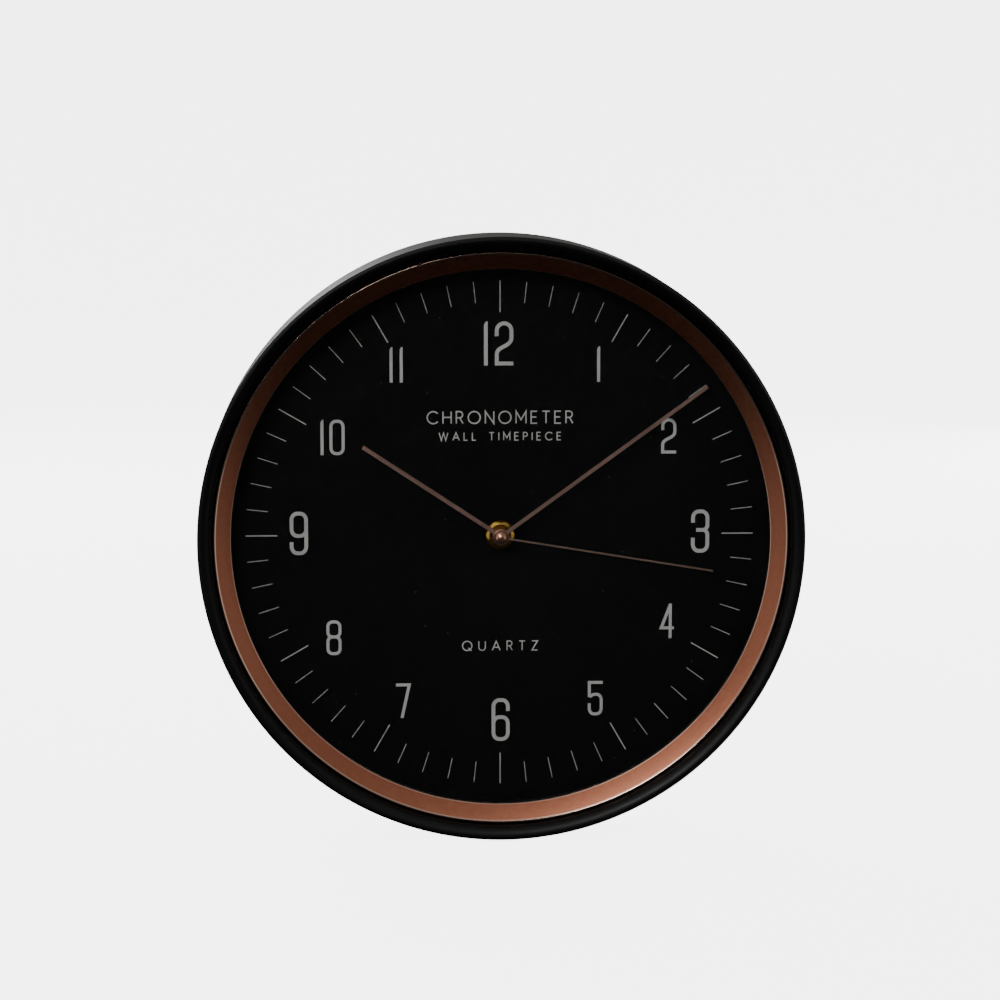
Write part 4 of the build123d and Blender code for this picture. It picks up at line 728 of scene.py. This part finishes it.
# Its mould texture is finer than the case's, so it reads a shade smoother and lighter.
housing_abs = surface("moulded ABS, fine matt black", "#17171a", 0.5, Specular_IOR_Level=0.4)
moulded_grain(housing_abs, grain_mm=0.35, depth_mm=0.012, gloss=(0.44, 0.58))
refinish(housing_abs, "movement_case", "movement_cover")

cover_back = -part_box("movement_cover")[1].y / MM
knob_low, knob_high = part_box("setting_knob")
knob_x, knob_z = (knob_low.x + knob_high.x) / 2 / MM, (knob_low.z + knob_high.z) / 2 / MM
bay_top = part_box("movement_cover")[0].z / MM
marks = bmesh.new()
MARK_HEIGHT, MARK_RISE, mark_pen, mark_arm = 0.2, 0.02, 0.7, 2
mark_front, mark_z = cover_back - MARK_HEIGHT, bay_top + 4
for x in (22.0, -22.0):
    print_line(marks, [(x - mark_arm, mark_z), (x + mark_arm, mark_z)], mark_pen, mark_front, MARK_HEIGHT)
    if x > 0:
        upright = [(x, mark_z - mark_arm), (x, mark_z + mark_arm)]
        print_line(marks, upright, mark_pen, mark_front + MARK_RISE, MARK_HEIGHT)
arrow_radius, arrow_start, arrow_end, barb, barb_angle = 9.2, 200, 300, 2.2, 32
arrow = bend(knob_x, knob_z, arrow_radius, arrow_radius, arrow_start, arrow_end, 24)
print_line(marks, arrow, mark_pen, mark_front, MARK_HEIGHT)
tip_x, tip_z = arrow[-1]
heading = radians(arrow_end + 90)
barbs = [
    (tip_x - barb * cos(heading + turn), tip_z - barb * sin(heading + turn))
    for turn in (radians(barb_angle), radians(-barb_angle))
]
print_line(marks, [barbs[0], (tip_x, tip_z), barbs[1]], mark_pen, mark_front - MARK_RISE, MARK_HEIGHT)
fit(piece("cover_marks", marks, housing_abs), "clock", "movement_plastic")

# ---------------------------------------------------------------- bush, washer and nut
# Brass turned on a lathe, whose tool leaves fine bright rings, under clear lacquer. The bush has an M8
# thread of 0.75 mm pitch; the nut pulls the movement against the back plate, through a stamped washer.
brass = surface("turned brass, clear lacquer", "#c79a3a", 0.1, Metallic=1.0)
brushed_round(brass, ("#c79a3a", "#e3bd62"), streak_mm=0.12, gloss=(0.1, 0.2), depth_mm=0.01)
refinish(brass, "nut_washer", "hex_nut")

bush_flange, bush_end = (-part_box("threaded_bush")[k].y / MM for k in (1, 0))
rib_height = 3.0
plate_face = -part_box("back_plate")[1].y / MM + rib_height
PITCH, thread_depth, bush_radius, bore_radius, flange_radius = 0.75, 0.4, 4.0, 2.55, 5.4
run_in, run_out, end_chamfer = 0.3, 0.35, 0.25
SEGMENTS, THREAD_STEPS = 72, 84
outline = []
for k in range(THREAD_STEPS + 1):
    depth = plate_face + (bush_end - plate_face) * k / THREAD_STEPS
    fade = max(0.0, min(1.0, (bush_end - depth) / run_out, (depth - plate_face) / run_in))
    chamfer = end_chamfer * max(0.0, 1 - (bush_end - depth) / end_chamfer)
    phases = [(depth / PITCH + i / SEGMENTS) % 1.0 for i in range(SEGMENTS)]
    outline.append(([bush_radius - thread_depth * fade * abs(2 * phase - 1) - chamfer for phase in phases], depth))
outline += [
    (bore_radius, bush_end), (bore_radius, bush_flange), (flange_radius, bush_flange), (flange_radius, plate_face)
]
thread = turned(outline, SEGMENTS)
fit(piece("bush_threaded", thread, brass, sharp=40), "clock", "brass", "threaded_bush")

# ---------------------------------------------------------------- wheels, arbors and knob
# The train is moulded: white acetal for the large wheels, dark acetal for the arbors and pinions. Acetal is
# slightly waxy, so a little light goes into it. The clutch and the clip are bright spring steel, and the
# setting knob is grey ABS.
acetal = surface("acetal, natural white", "#d9d6cb", 0.38, Subsurface_Weight=0.15, Subsurface_Scale=0.6 * MM)
moulded_grain(acetal, grain_mm=0.5, depth_mm=0.006, gloss=(0.32, 0.44))
refinish(acetal, "hour_wheel", "centre_wheel", "second_wheel", "third_wheel", "motion_wheel")
dark_acetal = surface("acetal, moulded black", "#1d1d1f", 0.35)
moulded_grain(dark_acetal, grain_mm=0.5, depth_mm=0.006, gloss=(0.3, 0.42))
refinish(dark_acetal, "minute_arbor", "intermediate_wheel", "rotor_pinion")
knob_abs = surface("moulded ABS, mid grey", "#8b8b88", 0.45)
moulded_grain(knob_abs, grain_mm=0.4, depth_mm=0.012, gloss=(0.4, 0.52))
refinish(knob_abs, "setting_knob")
spring = surface("spring steel, rolled bright", "#b4b3ad", 0.25, Metallic=1.0)
rolled(spring, (0.2, 0.2, 6), 2.0, (0.18, 0.36))
refinish(spring, "clutch_spring", "motion_clip", "positive_contact", "negative_contact")

# ---------------------------------------------------------------- motor
# The stepping motor: an annealed soft iron stator, a coil of enamelled copper wire on a nylon bobbin, and a
# sintered ring magnet on the rotor.

# Annealing leaves a grey oxide on the iron, in clouds of lighter and darker tone.
iron = surface("soft iron, annealed", "#6f6e6b", 0.45, Metallic=1.0)
oxide = add_node(
    iron, "ShaderNodeTexNoise", [("Scale", 1 / (3 * MM)), ("Detail", 5.0)],
    [("Vector", add_node(iron, "ShaderNodeTexCoord"), "Object")],
)
tone = add_node(iron, "ShaderNodeValToRGB", [("marks", ((0, "#5b5a59"), (1, "#86837e")))], [("Fac", oxide, "Fac")])
sheen = add_node(iron, "ShaderNodeMapRange", [("To Min", 0.36), ("To Max", 0.56)], [("Value", oxide, "Fac")])
shade_with(iron, "Base Color", tone, "Color")
shade_with(iron, "Roughness", sheen, "Result")
refinish(iron, "stator", "coil_core")

# Enamel gives the copper a deep red-brown gloss, broken up by the turns.
wire = surface("enamelled copper wire, wound", "#9a4a22", 0.3, Metallic=0.9, Coat_Weight=0.5)
place = add_node(wire, "ShaderNodeTexCoord")
# Real turns are 0.03 mm apart; they are drawn at 0.2 mm, so that the winding can be seen.
turn_mm = 0.2
turns = add_node(
    wire, "ShaderNodeTexWave",
    [("bands_direction", "X"), ("Scale", pi / 10 / (turn_mm * MM)), ("Distortion", 0.4), ("Detail", 1.0)],
    [("Vector", place, "Object")],
)
tone = add_node(wire, "ShaderNodeValToRGB", [("marks", ((0, "#6e2f14"), (1, "#c4683a")))], [("Fac", turns, "Fac")])
bumps = add_node(wire, "ShaderNodeBump", [("Strength", 0.7), ("Distance", 0.05 * MM)], [("Height", turns, "Fac")])
shade_with(wire, "Base Color", tone, "Color")
shade_with(wire, "Normal", bumps, "Normal")
refinish(wire, "coil_winding")

# Natural nylon is a waxy cream that takes in a little light; sintered ferrite is dark grey and gritty.
nylon = surface("nylon, natural", "#c9c2a6", 0.4, Subsurface_Weight=0.2, Subsurface_Scale=0.8 * MM)
moulded_grain(nylon, grain_mm=0.4, depth_mm=0.008, gloss=(0.34, 0.46))
refinish(nylon, "coil_bobbin")
magnet = surface("bonded ferrite, sintered", "#2c2c2f", 0.5, Metallic=0.6)
moulded_grain(magnet, grain_mm=0.25, depth_mm=0.02, gloss=(0.42, 0.6))
refinish(magnet, "rotor_magnet")

# ---------------------------------------------------------------- circuit
# A small board of brown phenolic paper with tinned copper tracks. The chip is bonded straight to it under a
# blob of black epoxy, and the quartz crystal lies in its nickel-plated can.
phenolic = surface("phenolic board, lacquered", "#7a4a1e", 0.35)
place = add_node(phenolic, "ShaderNodeTexCoord")
flat = add_node(phenolic, "ShaderNodeMapping", [("Rotation", (pi / 2, 0, 0))], [("Vector", place, "Object")])
tracks = add_node(
    phenolic, "ShaderNodeTexBrick",
    [
        ("Scale", 1 / (8 * MM)), ("Mortar Size", 0.035), ("Mortar Smooth", 0.0), ("Color1", linear("#6b3f1b")),
        ("Color2", linear("#754620")), ("Mortar", linear("#b9b5a4")),
    ],
    [("Vector", flat, "Vector")],
)
bumps = add_node(phenolic, "ShaderNodeBump", [("Strength", 0.5), ("Distance", 0.03 * MM)], [("Height", tracks, "Fac")])
shade_with(phenolic, "Base Color", tracks, "Color")
shade_with(phenolic, "Normal", bumps, "Normal")
refinish(phenolic, "circuit_board")

# Cast epoxy sets with a glossy skin that is never quite flat.
epoxy = surface("epoxy, cast black", "#08080a", 0.2, Coat_Weight=0.3)
flow = add_node(
    epoxy, "ShaderNodeTexNoise", [("Scale", 1 / (1.5 * MM)), ("Detail", 1.0)],
    [("Vector", add_node(epoxy, "ShaderNodeTexCoord"), "Object")],
)
sheen = add_node(epoxy, "ShaderNodeMapRange", [("To Min", 0.12), ("To Max", 0.3)], [("Value", flow, "Fac")])
shade_with(epoxy, "Roughness", sheen, "Result")
refinish(epoxy, "chip_blob")

# A can keeps fine lines along its draw, under bright nickel.
nickel = surface("nickel-plated steel, drawn", "#c3c1ba", 0.2, Metallic=1.0)
rolled(nickel, (9, 0.3, 0.3), 2.0, (0.14, 0.3))
refinish(nickel, "quartz_crystal", "battery_cell")

# ---------------------------------------------------------------- battery film
# The AA cell wears a shrunk plastic film, printed black with a copper-coloured end at the positive pole and a
# thin pale line between them. It carries no words.
film_print = surface("shrunk PET film, gloss print", "#121214", 0.22, Coat_Weight=0.4, Coat_Roughness=0.1)
place = add_node(film_print, "ShaderNodeTexCoord")
parts = add_node(film_print, "ShaderNodeSeparateXYZ", [], [("Vector", place, "Object")])
film_left, film_right = (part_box("battery_sleeve")[k].x for k in (0, 1))
along = add_node(
    film_print, "ShaderNodeMapRange", [("From Min", film_left), ("From Max", film_right)], [("Value", parts, "X")]
)
bands = add_node(film_print, "ShaderNodeValToRGB", [], [("Fac", along, "Result")])
bands.color_ramp.interpolation = "CONSTANT"
bands.color_ramp.elements[0].color = linear("#141416")
bands.color_ramp.elements[1].position, bands.color_ramp.elements[1].color = 0.74, linear("#b06a3c")
for position, colour in ((0.715, "#d8d4c8"), (0.06, "#1c1c1f")):
    bands.color_ramp.elements.new(position).color = linear(colour)
creases = add_node(
    film_print, "ShaderNodeTexNoise", [("Scale", 1 / (5 * MM)), ("Detail", 3.0)], [("Vector", place, "Object")]
)
sheen = add_node(film_print, "ShaderNodeMapRange", [("To Min", 0.16), ("To Max", 0.3)], [("Value", creases, "Fac")])
bumps = add_node(
    film_print, "ShaderNodeBump", [("Strength", 0.2), ("Distance", 0.05 * MM)], [("Height", creases, "Fac")]
)
shade_with(film_print, "Base Color", bands, "Color")
shade_with(film_print, "Roughness", sheen, "Result")
shade_with(film_print, "Normal", bumps, "Normal")
refinish(film_print, "battery_sleeve")

# ---------------------------------------------------------------- hands and their cap
# The hands are stamped from 0.5 mm aluminium with bevelled edges, and lacquered a brownish copper that is
# satin on the flats. The domed cap on the second hand is spun and polished, with a thin brim.
hand_lacquer = surface("aluminium, satin copper lacquer", "#a0705c", 0.35, Metallic=1.0)
place = add_node(hand_lacquer, "ShaderNodeTexCoord")
# The lacquer's orange peel is finer than 0.2 mm; it is drawn at 0.6 mm, so that it shows.
grit = add_node(
    hand_lacquer, "ShaderNodeTexNoise", [("Scale", 1 / (0.6 * MM)), ("Detail", 3.0)], [("Vector", place, "Object")]
)
tone = add_node(
    hand_lacquer, "ShaderNodeValToRGB", [("marks", ((0.3, "#b08a7c"), (0.7, "#c9a598")))], [("Fac", grit, "Fac")]
)
sheen = add_node(hand_lacquer, "ShaderNodeMapRange", [("To Min", 0.28), ("To Max", 0.44)], [("Value", grit, "Fac")])
shade_with(hand_lacquer, "Base Color", tone, "Color")
shade_with(hand_lacquer, "Roughness", sheen, "Result")
refinish(hand_lacquer, "hour_hand", "minute_hand", "second_hand")

cap_copper = surface("spun aluminium, polished copper lacquer", "#c98a70", 0.12, Metallic=1.0)
brushed_round(cap_copper, ("#d8947a", "#f0b8a0"), streak_mm=0.1, gloss=(0.2, 0.28), depth_mm=0.002)
cap_back, cap_top = (-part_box("hand_cap")[k].y / MM for k in (1, 0))
brim_radius, dome_radius, brim_thickness = 3.9, 3.4, 0.5
brim = cap_back + brim_thickness
dome_height = cap_top - brim
ball = (dome_radius**2 + dome_height**2) / (2 * dome_height)
outline = [(0, cap_back), (brim_radius - 0.1, cap_back), (brim_radius, cap_back + 0.1), (brim_radius, brim - 0.18)]
turns = [radians(t) for t in (30, 60, 90)]
outline += [(brim_radius - 0.2 * (1 - cos(t)), brim - 0.18 + 0.18 * sin(t)) for t in turns]
outline += [(dome_radius + 0.12, brim)]
for step in range(16):
    height = dome_height * sin(radians(90 * step / 16))
    outline.append((sqrt(max(ball**2 - (ball - dome_height + height) ** 2, 0)), brim + height))
outline.append((0, cap_top))
fit(piece("hand_cap_dome", turned(outline, 128), cap_copper), "second", "hand_copper", "hand_cap")

# ---------------------------------------------------------------- floor, light and camera
# A pale seamless sweep under and behind the clock, four softboxes in front of it, the strongest high on the
# left, two behind it that light its back, and a camera a little above and left of the dial's axis.

# White paper that glows evenly; its tooth is drawn at 4 mm, far coarser than the real one, so that it shows.
paper = surface(
    "background paper, matt white", "#f4f3f1", 0.9, Specular_IOR_Level=0.1,
    Emission_Color=linear("#ffffff"), Emission_Strength=4.9,
)
tooth = add_node(
    paper, "ShaderNodeTexNoise", [("Scale", 1 / (4 * MM)), ("Detail", 2.0)],
    [("Vector", add_node(paper, "ShaderNodeTexCoord"), "Object")],
)
tone = add_node(
    paper, "ShaderNodeMix", [("data_type", "RGBA"), (6, linear("#f2f1ef")), (7, linear("#f6f5f3"))],
    [(0, tooth, "Fac")],
)
shade_with(paper, "Base Color", tone, 2)
floor_gap, front_edge, curve_start, curve_radius, wall_top, half_width = 0.0004, -3.5, 2.2, 0.8, 3.5, 4.0
floor_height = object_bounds()[0].z - floor_gap
turns = [radians(t) for t in range(10, 91, 10)]
sweep_line = [(front_edge, floor_height), (curve_start, floor_height)]
sweep_line += [(curve_start + curve_radius * sin(t), floor_height + curve_radius * (1 - cos(t))) for t in turns]
sweep_line.append((curve_start + curve_radius, floor_height + wall_top))
sheet_mesh = bmesh.new()
edges = [[sheet_mesh.verts.new((x, y, z)) for y, z in sweep_line] for x in (-half_width, half_width)]
for i in range(len(sweep_line) - 1):
    sheet_mesh.faces.new((edges[0][i], edges[1][i], edges[1][i + 1], edges[0][i + 1]))
floor = piece("studio_sweep", sheet_mesh, paper, sharp=60)
# The glowing paper is kept out of the clock's reflections and of the light on it.
floor.visible_glossy = floor.visible_diffuse = floor.visible_transmission = False

world = bpy.data.worlds.new("studio")
bpy.context.scene.world = world
world.use_nodes = True
# Soft light that fades from above to below and is dim on the viewer's side, so the black parts stay black. What
# the camera sees past the paper is plain white.
overhead = world.node_tree.nodes["Background"]
overhead.inputs["Color"].default_value = linear("#fffdf8")
parts = add_node(
    world, "ShaderNodeSeparateXYZ", [], [("Vector", add_node(world, "ShaderNodeTexCoord"), "Generated")]
)
height_share, side_share = (
    add_node(
        world, "ShaderNodeMapRange",
        [
            ("interpolation_type", "SMOOTHSTEP"), ("From Min", start), ("From Max", end), ("To Min", dim),
            ("To Max", full),
        ],
        [("Value", parts, axis)],
    )
    for axis, start, end, dim, full in (("Z", -0.75, 0.9, 0.012, 0.34), ("Y", -0.98, -0.7, 0.1, 1.0))
)
both = add_node(
    world, "ShaderNodeMath", [("operation", "MULTIPLY")], [(0, height_share, "Result"), (1, side_share, "Result")]
)
seen = add_node(world, "ShaderNodeBackground", [("Color", linear("#ffffff")), ("Strength", 6.0)])
rays = add_node(world, "ShaderNodeLightPath")
choice = add_node(
    world, "ShaderNodeMixShader", [],
    [("Fac", rays, "Is Camera Ray"), (1, overhead, "Background"), (2, seen, "Background")],
)
world.node_tree.links.new(both.outputs["Value"], overhead.inputs["Strength"])
world.node_tree.links.new(choice.outputs["Shader"], world.node_tree.nodes["World Output"].inputs["Surface"])

# Each softbox: power in watts, width and height in metres, and its place. All point at the clock's middle.
for name, power, width, height, place in (
    ("key", 2.0, 1.2, 0.9, (-0.75, -1.15, 1.25)),
    ("front", 7.0, 0.5, 0.35, (-0.45, -1.5, 0.72)),
    ("side", 1.2, 0.6, 1.2, (-1.45, -0.95, -0.1)),
    ("fill", 1.0, 0.6, 1.2, (1.45, -0.95, 0.0)),
    ("back_left", 22.0, 1.0, 1.0, (-0.9, 1.5, 1.0)),
    ("back_right", 16.0, 1.0, 1.0, (1.1, 1.5, 0.4)),
):
    lamp = bpy.data.lights.new(name, "AREA")
    lamp.shape, lamp.size, lamp.size_y, lamp.energy = "RECTANGLE", width, height, power
    softbox = bpy.data.objects.new(name, lamp)
    softbox.location = place
    softbox.rotation_mode = "QUATERNION"
    softbox.rotation_quaternion = (-Vector(place)).to_track_quat("-Z", "Y")
    softbox.visible_camera = False
    bpy.context.scene.collection.objects.link(softbox)

dial_middle = Vector((0.0, -dial_front * MM, 0.0))
camera_data = bpy.data.cameras.new("camera")
camera_data.sensor_width, camera_data.lens = 36.0, 108.0
camera_data.clip_start, camera_data.clip_end = 0.05, 50.0
camera = bpy.data.objects.new("camera", camera_data)
pitch, left_of_axis, distance, tip = radians(8.0), radians(2.5), 1.502, radians(0.655)
camera.location = dial_middle + distance * Vector((
    -sin(left_of_axis) * cos(pitch), -cos(left_of_axis) * cos(pitch), sin(pitch)
))
aim = (dial_middle - camera.location).to_track_quat("-Z", "Y")
camera.rotation_mode = "QUATERNION"
camera.rotation_quaternion = aim @ Quaternion((1, 0, 0), tip)
bpy.context.scene.collection.objects.link(camera)
bpy.context.scene.camera = camera
